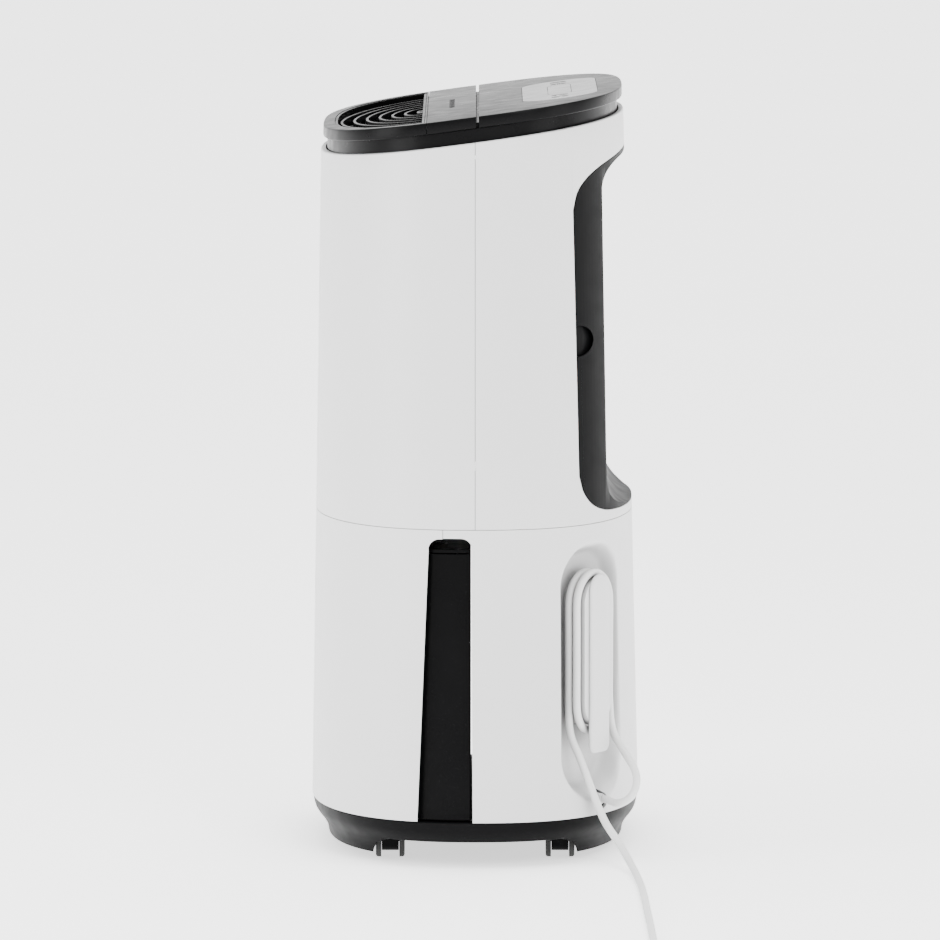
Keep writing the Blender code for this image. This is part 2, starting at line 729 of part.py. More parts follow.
def grille_vane(half_width, half_depth, foot, top):
    """Half an elliptical hoop, its two ends run into the ring's back bar."""
    thick = 2 * MM
    centre = GRILLE_BACK * MM - 1.2 * MM
    steps = 16
    outline = []
    for grow in (0, -thick):
        side = []
        for i in range(steps + 1):
            angle = math.pi * (1 + i / steps)
            side.append(
                ((half_width + grow) * math.cos(angle), centre + (half_depth + grow) * math.sin(angle))
            )
        outline += side if grow == 0 else list(reversed(side))
    return extruded("grille_vane", outline, deck_point, foot, top)


def tilted(x, y, height):
    """A point on the deck, from its own plan position and its height above the casing's edge."""
    return deck_point(x * MM, y * MM, height * MM)


BUTTONS = (("button_power", -86), ("button_mode", -66), ("button_humidity", 66), ("button_fan", 86))


def control_panel():
    panel = extruded("control_panel", panel_outline(0), deck_point, 17 * MM, DECK_DEPTH, GLOSS)
    seat = extruded("window_seat", window_outline(0.3), deck_point, 18.2 * MM, 40 * MM)
    cut(panel, seat)
    extruded("display_window", window_outline(0), deck_point, 18.5 * MM, DECK_DEPTH, GLOSS)
    holes = []
    for name, x in BUTTONS:
        cap = rod(name, tilted(x, 66, 17.6), 6.2 * MM, 4.0 * MM, DECK_NORMAL, DECK, 20)
        flange = rod("button_flange", tilted(x, 66, 15.0), 7.8 * MM, 1.6 * MM, DECK_NORMAL, sides=20)
        stem = rod("button_stem", tilted(x, 66, 7.5), 2 * MM, 22 * MM, DECK_NORMAL, sides=8)
        join(cap, flange, stem)
        holes.append(rod("button_hole", tilted(x, 66, 18), 6.6 * MM, 20 * MM, DECK_NORMAL, sides=20))
    cut(panel, *holes)
    deck_slab("control_board", 46, 86, -8.2, -6.6, 98, look=BOARD)


def window_outline(grow):
    points = stadium((106 + 2 * grow) * MM, (18 + 2 * grow) * MM)
    return [(x, y + PANEL_MIDDLE) for x, y in points]


# ---- Tank ---------------------------------------------------------------------------------------
def fascia():
    """The tank's light front, with a slanted rear edge and a tab that reaches back under the seam."""
    shell = casing_tube("tank_fascia", PLINTH_TOP + GAP, SEAM_Z - GAP / 2, CASING, wall=2.6 * MM)
    outline = [(-200, -50), (-45.2, -50), (-44.5, 34), (-35.8, 243)]
    corner = (-27.5, BAND_LOW - 0.5 - CHANNEL_CORNER)
    outline += arc(corner, CHANNEL_CORNER, 175, 90, 4) + [(-25, BAND_LOW - 0.5), (-25, 300), (-200, 300)]
    side = extruded(
        "fascia_side", [(y * MM, z * MM) for y, z in outline], side_view, -BIG * MM, BIG * MM
    )
    keep_inside(shell, side)


def tub_block(name, low, high, front_inset, rear_inset, ends, look=None):
    """The tank's plan as one solid: wider in front, narrower where the side channels are."""
    front_y, step_y, back_y = ends
    block = from_rings(name, [casing_ring(low, front_inset), casing_ring(high, front_inset)], look)
    keep_inside(block, boxes(name + "_front", ((-BIG, front_y, -BIG), (BIG, step_y, BIG))))
    rear = from_rings(name + "_rear", [casing_ring(low, rear_inset), casing_ring(high, rear_inset)])
    keep_inside(rear, boxes(name + "_back", ((-BIG, step_y - 12, -BIG), (BIG, back_y, BIG))))
    return join(block, rear)


def tank():
    tub = tub_block("tank_tub", 32.7 * MM, 240 * MM, 3 * MM, 7 * MM, (-BIG, -47, -3.4), TANK)
    inside = tub_block("tub_inside", 35.7 * MM, 300 * MM, 5.4 * MM, 9.4 * MM, (-BIG, -49.4, -5.8))
    cut(tub, inside)
    lid = tub_block("tank_lid", 240.3 * MM, 243.3 * MM, 3.6 * MM, 7.6 * MM, (-BIG, -47.6, -4), TANK)
    lugs = boxes("float_lugs", ((50, -65, 228), (52.5, -55, 242)), ((63.5, -65, 228), (66, -55, 242)))
    join(lid, lugs)
    bore = rod("float_bore", FLOAT_PIVOT, 1.9 * MM, 30 * MM, (1, 0, 0), sides=12)
    cut(lid, bore, rod("fill_hole", Vector((0, -30, 242)) * MM, 14 * MM, 20 * MM))
    arm = boxes("tank_float", ((44, -46, 205), (72, -18, 223)), look=FLOAT)
    lever = boxes("float_lever", ((54, -63, 218), (62, -40, 233.2)))
    pin = rod("float_pin", FLOAT_PIVOT, 1.5 * MM, 17 * MM, (1, 0, 0), sides=12)
    join(arm, lever, pin)
    boxes("tank_full_switch", ((49, -44, 246.2), (67, -22, 252)), look=BLACK)


# ---- Inside -------------------------------------------------------------------------------------
def heat_exchangers():
    for name, y_low, y_high, count in (("evaporator", 68, 86, 4), ("condenser", 44, 62, 4)):
        block = boxes(name, ((-112, y_low, 296), (112, y_high, 500)), look=FINS)
        middle = (y_low + y_high) / 2 * MM
        for i in range(count):
            z = (325 + 50 * i) * MM
            route = [Vector((110 * MM, middle, z - 10 * MM))]
            route += [
                Vector(((114 + 8 * math.sin(a)) * MM, middle, z - 10 * MM * math.cos(a)))
                for a in (0, 0.79, 1.57, 2.36, math.pi)
            ]
            route.append(Vector((110 * MM, middle, z + 10 * MM)))
            join(block, hairpin(route))
    boxes("filter_screen", ((-116, 90.6, 294), (116, 93.4, 506)), look=INNER)


def hairpin(route):
    """A bent copper tube whose ends run into the coil block."""
    radius, sides = 3 * MM, 6
    rings = []
    for i, point in enumerate(route):
        ahead = route[min(i + 1, len(route) - 1)] - route[max(i - 1, 0)]
        turn = Vector((0, 0, 1)).rotation_difference(ahead).to_matrix()
        ring = []
        for k in range(sides):
            angle = math.tau * k / sides
            ring.append(point + turn @ Vector((radius * math.cos(angle), radius * math.sin(angle), 0)))
        rings.append(ring)
    return from_rings("hairpin", rings)


def drip_tray():
    tray = boxes("drip_tray", ((-124, 40, 276), (124, 90, 290)), look=INNER)
    channel = boxes("tray_channel", ((-13, -42, 268), (13, 44, 283)))
    join(tray, channel)
    cut(tray, boxes("tray_basin", ((-121.5, 42.5, 279), (121.5, 87.5, 300))))
    cut(tray, boxes("channel_run", ((-10.5, -39.5, 271), (10.5, 60, 300))))
    cut(tray, rod("tray_outlet", Vector((0, -30, 268)) * MM, 7 * MM, 20 * MM, sides=16))


def fan():
    front, back = -80, 4
    scroll = rod(
        "fan_scroll",
        Vector((0, (front + back) / 2 * MM, FAN_Z)),
        108 * MM,
        (back - front) * MM,
        (0, 1, 0),
        INNER,
        40,
    )
    duct = boxes("outlet_duct", ((-60, front + 0.4, 400), (107, back - 0.4, 526)))
    join(scroll, duct)
    inner = rod(
        "scroll_inner",
        Vector((0, (front + back) / 2 * MM, FAN_Z)),
        105.5 * MM,
        (back - front - 5) * MM,
        (0, 1, 0),
        sides=40,
    )
    cut(
        scroll,
        inner,
        boxes("duct_inner", ((-57.5, front + 2.9, 402), (104.5, back - 2.9, 523))),
        boxes("duct_mouth", ((-57.5, front + 2.9, 510), (104.5, -38, 540))),
        rod("inlet_mouth", Vector((0, 4 * MM, FAN_Z)), 72 * MM, 20 * MM, (0, 1, 0), sides=32),
        rod("motor_hole", Vector((0, -80 * MM, FAN_Z)), 16 * MM, 20 * MM, (0, 1, 0), sides=20),
    )
    reach, wall = 84 * MM, 4 * MM
    profile = [(0, -68), (84, -68), (84, -10), (80, -10), (80, -65), (14, -65), (14, -50), (0, -50)]
    profile = [(r * MM if r else 0, y * MM) for r, y in profile]
    wheel = turned(
        "fan_impeller", profile, Vector((0, 0, FAN_Z)), (0, 1, 0), BLACK, sides=24
    )
    gaps = bmesh.new()
    count = 12
    for i in range(count):
        spin = Matrix.Rotation(math.tau * (i + 0.25) / count, 4, "Y")
        fit = Matrix.Translation((0, 0, FAN_Z)) @ spin @ Matrix.Translation((0, -38 * MM, reach - wall / 2))
        size = Matrix.Diagonal((32 * MM, 44 * MM, 16 * MM, 1))
        bmesh.ops.create_cube(gaps, size=1, matrix=fit @ size)
    mesh = bpy.data.meshes.new("blade_gaps")
    gaps.to_mesh(mesh)
    gaps.free()
    cut(wheel, add_object("blade_gaps", mesh))
    motor = rod("fan_motor", Vector((0, -96, 400)) * MM, 36 * MM, 31 * MM, (0, 1, 0), METAL, 28)
    shaft = rod("motor_shaft", Vector((0, -78, 400)) * MM, 4 * MM, 19 * MM, (0, 1, 0), sides=16)
    join(motor, shaft)


def refrigeration():
    centre = Vector((-70, 62, 0)) * MM
    profile = [(0, 43), (50, 43), (50, 178), (47, 190), (38, 198), (0, 200)]
    profile = [(r * MM if r else 0, z * MM) for r, z in profile]
    shell = turned("compressor", profile, centre, look=PAINTED, sides=32)
    plate = extruded(
        "compressor_foot",
        [(x * MM, y * MM) for x, y in ((-78, 8), (-62, 8), (-16, 88), (-24, 100), (-116, 100), (-124, 88))],
        lambda u, v, w: Vector((u, v, w)),
        40.3 * MM,
        44 * MM,
    )
    join(shell, plate)
    for index, (x, y) in enumerate(((-70, 15), (-113, 91), (-27, 91)), 1):
        spot = Vector((x, y, 36)) * MM
        rod(f"compressor_mount_{index}", spot, 7 * MM, 8 * MM, look=RUBBER, sides=16)
    boxes("terminal_cover", ((-19.5, 44, 95), (-4, 80, 150)), look=BLACK)
    rod("run_capacitor", Vector((50, 36, 78)) * MM, 20 * MM, 84 * MM, look=METAL, sides=24)
    pipe = 8 * MM
    discharge = [(-70, 45, 200.6), (-72, 42, 215), (-90, 34, 240), (-120, 31, 262), (-138, 36, 285)]
    discharge += [(-142, 46, 310), (-140, 52, 330), (-131, 53, 343), (-121, 53, 345), (-112.5, 53, 345)]
    suction = [(-70, 82, 200.6), (-72, 86, 214), (-90, 92, 236), (-115, 90, 256), (-136, 86, 280)]
    suction += [(-141, 80, 305), (-140, 77, 325), (-131, 77, 343), (-121, 77, 347), (-112.5, 77, 347)]
    for name, route in (("discharge_pipe", discharge), ("suction_pipe", suction)):
        points = [Vector(point) * MM for point in route]
        tube(name, points, pipe, COPPER)


# ---- Cord ---------------------------------------------------------------------------------------
def cord_hook():
    """The hook that the cord is wound on: a core on the recess's floor and a retainer plate."""
    core_half = WIND_RADIUS - CORD / 2 - 1.2 * MM
    core = stadium(WIND_STRAIGHT + 2 * core_half, 2 * core_half, 8)
    hook = extruded(
        "cord_hook",
        [(v, -u) for u, v in core],
        lambda t, z, n: in_recess(t, n, WINDINGS_Z + z),
        RECESS_FLOOR + GAP,
        1.2 * MM,
        CASING,
    )
    plate = extruded(
        "retainer_plate",
        [(v, -u) for u, v in stadium(139 * MM, 26 * MM, 10)],
        lambda t, z, n: in_recess(t, n, 150 * MM + z),
        0.5 * MM,
        3.9 * MM,
    )
    join(hook, plate)


def strain_relief():
    start, end = -19.6 * MM, 3 * MM
    centre = in_recess(EXIT_ALONG, (start + end) / 2, EXIT_Z)
    rod(
        "strain_relief", centre, 5.4 * MM, end - start, RECESS_OUT, LEAD, 16, tip_radius=CORD / 2 + 0.4 * MM
    )


def windings():
    """The outer shape of the turns on the hook."""
    low, high = -13.8 * MM, -0.4 * MM
    outer = (WIND_RADIUS + CORD / 2 + 0.1 * MM) * 2
    inner = (WIND_RADIUS - CORD / 2 - 0.4 * MM) * 2
    rings = []
    for n, width in ((low, outer), (high, outer), (high, inner), (low, inner)):
        outline = stadium(WIND_STRAIGHT + width, width, 10)
        rings.append([in_recess(v, n, WINDINGS_Z - u) for u, v in outline])
    from_rings("cord_windings", rings, LEAD, closed=True)


EXIT_ROUTE = [(4, 3.4, 43.5), (4, 8, 43), (4.6, 14.5, 41), (6, 22.5, 43.1), (7.8, 28.4, 49)]
EXIT_ROUTE += [(9.8, 30.5, 57), (11.6, 29, 63.8), (13.7, 24.8, 69.3), (17.3, 16.5, 76.6)]
EXIT_ROUTE += [(19.9, 9.5, 82.8), (21.6, 4.3, 88), (22.5, 0.6, 93.5), (22.9, -1.7, 100)]
LEAD_ROUTE = [(-23, -10.4, 102.5), (-22.6, -8.5, 93), (-21, -2.5, 79), (-18, 4.2, 60)]
LEAD_ROUTE += [(-14.8, 9.5, 43.5), (-12, 15.5, 28.5)]
FLOOR_ROUTE = [(172, 110, 19.2), (188, 115.4, 12.2), (206, 119.2, 7.4), (230, 122.2, 4.5)]
FLOOR_ROUTE += [(262, 124.5, 3.2), (300, 126.2, 3.1), (350, 127.4, 3.1), (404, 128.2, 3.1)]
FLOOR_ROUTE += [(470, 129.2, 3.1), (540, 130.1, 3.1), (600, 130.8, 3.1), (640, 131, 3.1), (659, 131, 3.1)]
TAIL_ROUTE = [(33, -27.2, 8.7), (33, -34, 8.6), (33, -40, 8.9)]  # from the coil's centre


def cord():
    to_recess = [in_recess(t * MM, n * MM, z * MM) for t, n, z in EXIT_ROUTE]
    tube("cord_exit_loop", to_recess, CORD, LEAD)
    lead = [in_recess(t * MM, n * MM, z * MM) for t, n, z in LEAD_ROUTE]
    lead += [Vector((x * MM, y * MM, z * MM + FLOOR_Z)) for x, y, z in FLOOR_ROUTE]
    tube("cord_lead", lead, CORD, LEAD)
    inner, outer = COIL_RADIUS - CORD - 0.2 * MM, COIL_RADIUS + CORD + 0.2 * MM
    low, high = 0.1 * MM, 2 * CORD
    turned(
        "cord_coil", [(inner, low), (outer, low), (outer, high), (inner, high)], COIL_CENTRE, look=LEAD
    )
    tube("cord_tail", [COIL_CENTRE + Vector(point) * MM for point in TAIL_ROUTE], CORD, LEAD)


def plug():
    """A generic two-pin plug, lying on the floor beside the coil."""
    axis = COIL_CENTRE + Vector((33, 0, 9)) * MM
    body = extruded(
        "plug",
        rounded_box(26 * MM, 17 * MM, 6 * MM, 3),
        lambda u, v, w: axis + Vector((u, -w, v)),
        54 * MM,
        88 * MM,
        LEAD,
    )
    boot_spot = axis + Vector((0, -48, 0)) * MM
    boot = rod("plug_boot", boot_spot, 6 * MM, 14 * MM, (0, 1, 0), tip_radius=3.4 * MM)
    pins = []
    for side in (-1, 1):
        spot = axis + Vector((side * 9.5, -96, 0)) * MM
        pins.append(rod("plug_pin", spot, 2 * MM, 19 * MM, (0, 1, 0), sides=12))
    join(body, boot, *pins)


front_shell()
rear_upper_shells()
finger_cups()
rear_lower_shell()
partition()
bay_roof()
plinth()
casters()
deck_collar()
deck_frame()
carry_handle()
grille()
control_panel()
fascia()
tank()
heat_exchangers()
drip_tray()
fan()
refrigeration()
cord_hook()
strain_relief()
windings()
cord()
plug()
joint_axes()
lift_onto_floor()
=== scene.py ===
"""Looks for a dehumidifier with a pull-out water tank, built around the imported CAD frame.

Metres, +Z up, the floor at Z = 0. X is the width and the front faces -Y. The camera looks along -X at
the object's right side. Outlines are given in mm. Heights are measured from a level LIFT above the
floor, as in the CAD, and each finished piece is raised by that much.
"""

import json
import math

import bmesh
import bpy
from mathutils import Matrix, Vector


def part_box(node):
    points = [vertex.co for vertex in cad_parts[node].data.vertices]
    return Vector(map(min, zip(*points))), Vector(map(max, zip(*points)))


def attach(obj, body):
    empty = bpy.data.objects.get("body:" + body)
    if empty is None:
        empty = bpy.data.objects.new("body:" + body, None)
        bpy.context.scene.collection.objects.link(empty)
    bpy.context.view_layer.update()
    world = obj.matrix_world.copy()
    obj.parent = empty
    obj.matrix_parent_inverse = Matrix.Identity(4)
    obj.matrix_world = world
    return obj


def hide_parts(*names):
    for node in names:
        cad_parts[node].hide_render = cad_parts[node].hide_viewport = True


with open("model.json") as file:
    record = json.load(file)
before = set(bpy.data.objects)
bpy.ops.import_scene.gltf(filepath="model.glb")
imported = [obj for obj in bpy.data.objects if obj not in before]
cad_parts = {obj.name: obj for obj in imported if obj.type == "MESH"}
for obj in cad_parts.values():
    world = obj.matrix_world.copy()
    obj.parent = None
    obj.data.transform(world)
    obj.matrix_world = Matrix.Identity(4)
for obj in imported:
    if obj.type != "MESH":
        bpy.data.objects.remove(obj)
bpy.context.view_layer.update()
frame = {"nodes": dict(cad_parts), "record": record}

MM = 0.001

# ---- Sizes taken from the frame
LIFT = 4.2 * MM


def node_box(node):
    """A node's box, its heights measured from the level LIFT above the floor."""
    down = Vector((0, 0, LIFT))
    return [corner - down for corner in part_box(node)]


LOWER_LOW, LOWER_HIGH = node_box("rear_lower_shell")
DECK_LOW, DECK_HIGH = node_box("deck_frame")
HALF_WIDTH, HALF_DEPTH = LOWER_HIGH.x, LOWER_HIGH.y
PLINTH_TOP = LOWER_LOW.z
SEAM_Z = (LOWER_HIGH.z + node_box("front_shell")[0].z) / 2
LEAN = (DECK_LOW.y + DECK_HIGH.y) / 2
DECK_HALF_WIDTH = DECK_HIGH.x
DECK_HALF_DEPTH = (DECK_HIGH.y - DECK_LOW.y) / 2

# ---- Shape laws, as the CAD has them
SLOPE = 0.134
DECK_DEPTH = 19.8 * MM
RIM_EASE = 1.2 * MM
EDGE_Z = DECK_HIGH.z - DECK_DEPTH - SLOPE * (DECK_HIGH.y - RIM_EASE)
TAPER_DEPTH = 0.922
TAPER_WIDTH = 0.985
PLAN_POWER = 2.4
DECK_POWER = 2.87
WALL = 2.5 * MM
GAP = 0.3 * MM
LIP = 4 * MM
AROUND = 240
DECK_NORMAL = Vector((0, -SLOPE, 1)).normalized()

RECESS_ANGLE = math.radians(56)
RECESS_OUT = Vector((math.cos(RECESS_ANGLE), math.sin(RECESS_ANGLE), 0))
RECESS_ALONG = Vector((-math.sin(RECESS_ANGLE), math.cos(RECESS_ANGLE), 0))
RECESS_ORIGIN = Vector((142.7, 94.3, 0)) * MM
EXIT_ALONG, EXIT_Z = 4, 43.5  # mm, in the recess's frame

CORD = 6 * MM
WIND_RADIUS, WIND_STRAIGHT, WINDINGS_Z = 23, 77, 158.8  # mm


# ---- Materials
LOOKS = {}


def shader_nodes(name):
    made = LOOKS[name] = bpy.data.materials.new(name)
    made.use_nodes = True
    tree = made.node_tree
    place = tree.nodes.new("ShaderNodeTexCoord")
    return tree, tree.nodes["Principled BSDF"], place.outputs["Object"]


def noise(tree, place, scale, detail=3.0):
    texture = tree.nodes.new("ShaderNodeTexNoise")
    texture.inputs["Scale"].default_value = scale
    texture.inputs["Detail"].default_value = detail
    tree.links.new(place, texture.inputs["Vector"])
    return texture.outputs["Fac"]


def remap(tree, value, low, high, start=0.3, end=0.7):
    ramp = tree.nodes.new("ShaderNodeMapRange")
    for socket, number in (("From Min", start), ("From Max", end), ("To Min", low), ("To Max", high)):
        ramp.inputs[socket].default_value = number
    tree.links.new(value, ramp.inputs["Value"])
    return ramp.outputs["Result"]


def colour_mix(tree):
    mix = tree.nodes.new("ShaderNodeMix")
    mix.data_type = "RGBA"
    return mix


def shade(tree, value, colour, spread):
    """The colour, made lighter and darker by spread as the value goes from 0 to 1."""
    mix = colour_mix(tree)
    tree.links.new(value, mix.inputs["Factor"])
    for socket, share in ((mix.inputs[6], 1 - spread), (mix.inputs[7], 1 + spread)):
        socket.default_value = (*(min(1, part * share) for part in colour), 1)
    return mix.outputs[2]


def bumps(tree, shader, *layers):
    """Stacked bump nodes: each layer is a value, a height in metres and a strength."""
    below = None
    for value, height, strength in layers:
        bump = tree.nodes.new("ShaderNodeBump")
        bump.inputs["Distance"].default_value = height
        bump.inputs["Strength"].default_value = strength
        tree.links.new(value, bump.inputs["Height"])
        if below:
            tree.links.new(below, bump.inputs["Normal"])
        below = bump.outputs["Normal"]
    tree.links.new(below, shader.inputs["Normal"])


def painted_crease_shade(tree, colour, painted_shade_darkest):
    """The colour multiplied by ambient occlusion: painted shade, darker in creases, recesses and behind
    close neighbours.
    """
    occlusion_shade = tree.nodes.new("ShaderNodeAmbientOcclusion")
    occlusion_shade.inputs["Distance"].default_value = 25 * MM
    occlusion_shade.samples = 6
    mix = colour_mix(tree)
    mix.blend_type = "MULTIPLY"
    mix.inputs["Factor"].default_value = 1
    tree.links.new(colour, mix.inputs[6])
    tree.links.new(remap(tree, occlusion_shade.outputs["AO"], painted_shade_darkest, 1, 0.15, 0.95), mix.inputs[7])
    return mix.outputs[2]


def moulded(
    name, colour, roughness, grain=1400, depth=0.02, spread=0.04, vary=0.05, ior=1.46, painted_shade_darkest=None
):
    """Moulded plastic: grain depth mm deep, faint flow shading, gloss that varies by vary, and, when a
    darkest level is given, painted shade in creases.
    """
    tree, shader, place = shader_nodes(name)
    flow = noise(tree, place, 9, 2)
    cloudy = noise(tree, place, 60, 4)
    flowed = shade(tree, remap(tree, flow, 0, 1), colour, spread)
    # Painted shade: the colour darkened by ambient occlusion in creases and recesses.
    if painted_shade_darkest is not None:
        flowed = painted_crease_shade(tree, flowed, painted_shade_darkest)
    tree.links.new(flowed, shader.inputs["Base Color"])
    gloss = remap(tree, cloudy, roughness - vary, roughness + vary)
    tree.links.new(gloss, shader.inputs["Roughness"])
    shader.inputs["IOR"].default_value = ior
    waves, fine = noise(tree, place, 25, 2), noise(tree, place, grain, 2)
    bumps(tree, shader, (waves, 0.00005, 0.2), (fine, depth * MM, 0.5))


def metal(name, colour, roughness, stretch):
    """Drawn or rolled metal: streaks along one axis."""
    tree, shader, place = shader_nodes(name)
    squeeze = tree.nodes.new("ShaderNodeMapping")
    squeeze.inputs["Scale"].default_value = stretch
    tree.links.new(place, squeeze.inputs["Vector"])
    streaks = noise(tree, squeeze.outputs["Vector"], 90, 4)
    tree.links.new(shade(tree, remap(tree, streaks, 0, 1), colour, 0.12), shader.inputs["Base Color"])
    tree.links.new(remap(tree, streaks, roughness - 0.08, roughness + 0.1), shader.inputs["Roughness"])
    shader.inputs["Metallic"].default_value = 1.0
    bumps(tree, shader, (streaks, 0.00005, 0.3))


def smoked(name):
    """Smoked tank plastic: glossy, its colour a shade lighter towards its foot."""
    tree, shader, place = shader_nodes(name)
    split = tree.nodes.new("ShaderNodeSeparateXYZ")
    tree.links.new(place, split.inputs["Vector"])
    rise = remap(tree, split.outputs["Z"], 1.0, 0.0, 0.03, 0.24)
    colour = shade(tree, rise, (0.002, 0.002, 0.0022), 0.3)
    tree.links.new(colour, shader.inputs["Base Color"])
    tree.links.new(remap(tree, noise(tree, place, 45, 3), 0.2, 0.3), shader.inputs["Roughness"])
    shader.inputs["IOR"].default_value = 1.12
    waves, grain = noise(tree, place, 18, 2), noise(tree, place, 900, 2)
    bumps(tree, shader, (waves, 0.0001, 0.2), (grain, 0.00001, 0.3))


def board(name):
    """A printed circuit board: green mask with lighter copper tracks under it."""
    tree, shader, place = shader_nodes(name)
    cells = tree.nodes.new("ShaderNodeTexBrick")
    cells.inputs["Scale"].default_value = 60
    for socket, colour in (("Color1", (0.01, 0.11, 0.04, 1)), ("Color2", (0.015, 0.15, 0.05, 1))):
        cells.inputs[socket].default_value = colour
    cells.inputs["Mortar"].default_value = (0.05, 0.3, 0.12, 1)
    tree.links.new(place, cells.inputs["Vector"])
    tree.links.new(cells.outputs["Color"], shader.inputs["Base Color"])
    shader.inputs["Roughness"].default_value = 0.35
    bumps(tree, shader, (cells.outputs["Fac"], 0.00003, 0.4))


# The white casing's colour is darkened by ambient occlusion: painted shade in creases and in the cord
# recess.
moulded("casing_white", (0.7, 0.7, 0.7), 0.42, 1400, 0.012, 0.012, painted_shade_darkest=0.3)
moulded("black_plastic", (0.0025, 0.0025, 0.0027), 0.42, spread=0.2, ior=1.13)
moulded("deck_black", (0.0025, 0.0025, 0.0027), 0.3, 1800, 0.01, 0.15, ior=1.16)
moulded("panel_gloss", (0.02, 0.02, 0.021), 0.14, 2200, 0.002, 0.1, 0.03, ior=1.24)
smoked("smoked_tank")
# The cord's colour is darkened by ambient occlusion: painted shade where it lies close to other surfaces.
moulded("cord_white", (0.76, 0.76, 0.755), 0.45, 900, 0.02, 0.02, painted_shade_darkest=0.6)
moulded("rubber_black", (0.02, 0.02, 0.02), 0.75, 700, 0.05, 0.2)
metal("steel", (0.56, 0.57, 0.58), 0.32, (1, 1, 12))
metal("copper", (0.78, 0.4, 0.26), 0.3, (6, 6, 1))
metal("aluminium_fins", (0.72, 0.73, 0.74), 0.36, (1, 1, 8))
board("circuit_board")
moulded("compressor_black", (0.016, 0.016, 0.017), 0.3, 500, 0.04, 0.2)
moulded("inner_grey", (0.3, 0.3, 0.31), 0.5, spread=0.05)
moulded("float_white", (0.68, 0.7, 0.72), 0.7, 300, 0.1, 0.03)


# ---- Mesh helpers
SHARP_ANGLE = 32  # degrees between two faces
ALONG_X, ALONG_Y = (1, 0, 0), (0, 1, 0)


def add_object(name, data):
    thing = bpy.data.objects.new(name, data)
    bpy.context.scene.collection.objects.link(thing)
    return thing


def skin(name, rings, closed=False, capped=True):
    """Skin rings of equal length, anticlockwise seen from the last ring's side."""
    count = len(rings[0])
    points = [tuple(point) for ring in rings for point in ring]
    pairs = list(zip(range(len(rings) - 1), range(1, len(rings))))
    if closed:
        pairs.append((len(rings) - 1, 0))
    faces = []
    for low, high in pairs:
        for i in range(count):
            j = (i + 1) % count
            faces.append((low * count + i, low * count + j, high * count + j, high * count + i))
    if capped and not closed:
        faces.append(tuple(reversed(range(count))))
        top = (len(rings) - 1) * count
        faces.append(tuple(range(top, top + count)))
    mesh = bpy.data.meshes.new(name)
    mesh.from_pydata(points, [], faces)
    return add_object(name, mesh)


def boxes(name, *corner_pairs):
    shape = bmesh.new()
    for low, high in corner_pairs:
        low, high = Vector(low) * MM, Vector(high) * MM
        fit = Matrix.Translation((low + high) / 2) @ Matrix.Diagonal((*(high - low), 1))
        bmesh.ops.create_cube(shape, size=1, matrix=fit)
    return from_bmesh(name, shape)


def from_bmesh(name, shape):
    mesh = bpy.data.meshes.new(name)
    shape.to_mesh(mesh)
    shape.free()
    return add_object(name, mesh)


def rod(name, centre, radius, length, axis=(0, 0, 1), sides=64):
    """A round bar, its radius and length in mm."""
    shape = bmesh.new()
    turn = Vector((0, 0, 1)).rotation_difference(Vector(axis)).to_matrix().to_4x4()
    bmesh.ops.create_cone(
        shape,
        cap_ends=True,
        segments=sides,
        radius1=radius * MM,
        radius2=radius * MM,
        depth=length * MM,
        matrix=Matrix.Translation(centre) @ turn,
    )
    return from_bmesh(name, shape)


def turned(name, profile, centre, axis=(0, 0, 1), sides=96):
    """A closed (radius, height) profile in mm turned about an axis; anticlockwise, radius to the right."""
    turn = Vector((0, 0, 1)).rotation_difference(Vector(axis)).to_matrix()
    rings = []
    for i in range(sides):
        angle = math.tau * i / sides
        ring = []
        for radius, height in profile:
            spot = Vector((radius * math.cos(angle), radius * math.sin(angle), height)) * MM
            ring.append(turn @ spot + centre)
        rings.append(ring)
    thing = skin(name, rings, closed=True)
    tidy(thing)
    return thing


def tidy(thing):
    """Weld points that coincide, drop faces with no area, and turn the faces outwards."""
    shape = bmesh.new()
    shape.from_mesh(thing.data)
    bmesh.ops.remove_doubles(shape, verts=shape.verts, dist=0.00001)
    bmesh.ops.dissolve_degenerate(shape, edges=shape.edges, dist=0.00001)
    bmesh.ops.recalc_face_normals(shape, faces=shape.faces)
    shape.to_mesh(thing.data)
    shape.free()
    return thing


def extruded(name, outline, place, start, end):
    """An outline of 2D points in mm, swept from start to end; place(u, v, w) gives a 3D point in mm."""
    return skin(name, [[place(u, v, w) for u, v in outline] for w in (start, end)])


def settle(thing):
    """Turn the modifiers into mesh."""
    graph = bpy.context.evaluated_depsgraph_get()
    mesh = bpy.data.meshes.new_from_object(thing.evaluated_get(graph))
    thing.modifiers.clear()
    thing.data = mesh
    return thing


def boolean(thing, cutters, operation):
    for cutter in cutters:
        tidy(cutter)
        change = thing.modifiers.new(operation.lower(), "BOOLEAN")
        change.operation = operation
        change.solver = "EXACT"
        change.object = cutter
        settle(thing)
        bpy.data.objects.remove(cutter)
    return thing


def cut(thing, *cutters):
    return boolean(thing, cutters, "DIFFERENCE")


def keep_inside(thing, *cutters):
    return boolean(thing, cutters, "INTERSECT")


def join(thing, *others):
    return boolean(thing, others, "UNION")


def triangulated(thing):
    """Split the many-sided faces that booleans leave."""
    shape = bmesh.new()
    shape.from_mesh(thing.data)
    bmesh.ops.triangulate(shape, faces=[face for face in shape.faces if len(face.verts) > 4])
    shape.to_mesh(thing.data)
    shape.free()
    return thing


def merged(thing, *others, name=None):
    """Other meshes added as they are, without a union."""
    shape = bmesh.new()
    for part in (thing, *others):
        shape.from_mesh(part.data)
    shape.to_mesh(thing.data)
    shape.free()
    for other in others:
        bpy.data.objects.remove(other)
    thing.name = name or thing.name
    return thing


def soften(thing, width):
    bevel = thing.modifiers.new("bevel", "BEVEL")
    bevel.width = width * MM
    bevel.segments = 3
    bevel.limit_method = "ANGLE"
    bevel.angle_limit = math.radians(SHARP_ANGLE)
    bevel.use_clamp_overlap = False
    bevel.harden_normals = True
    return thing


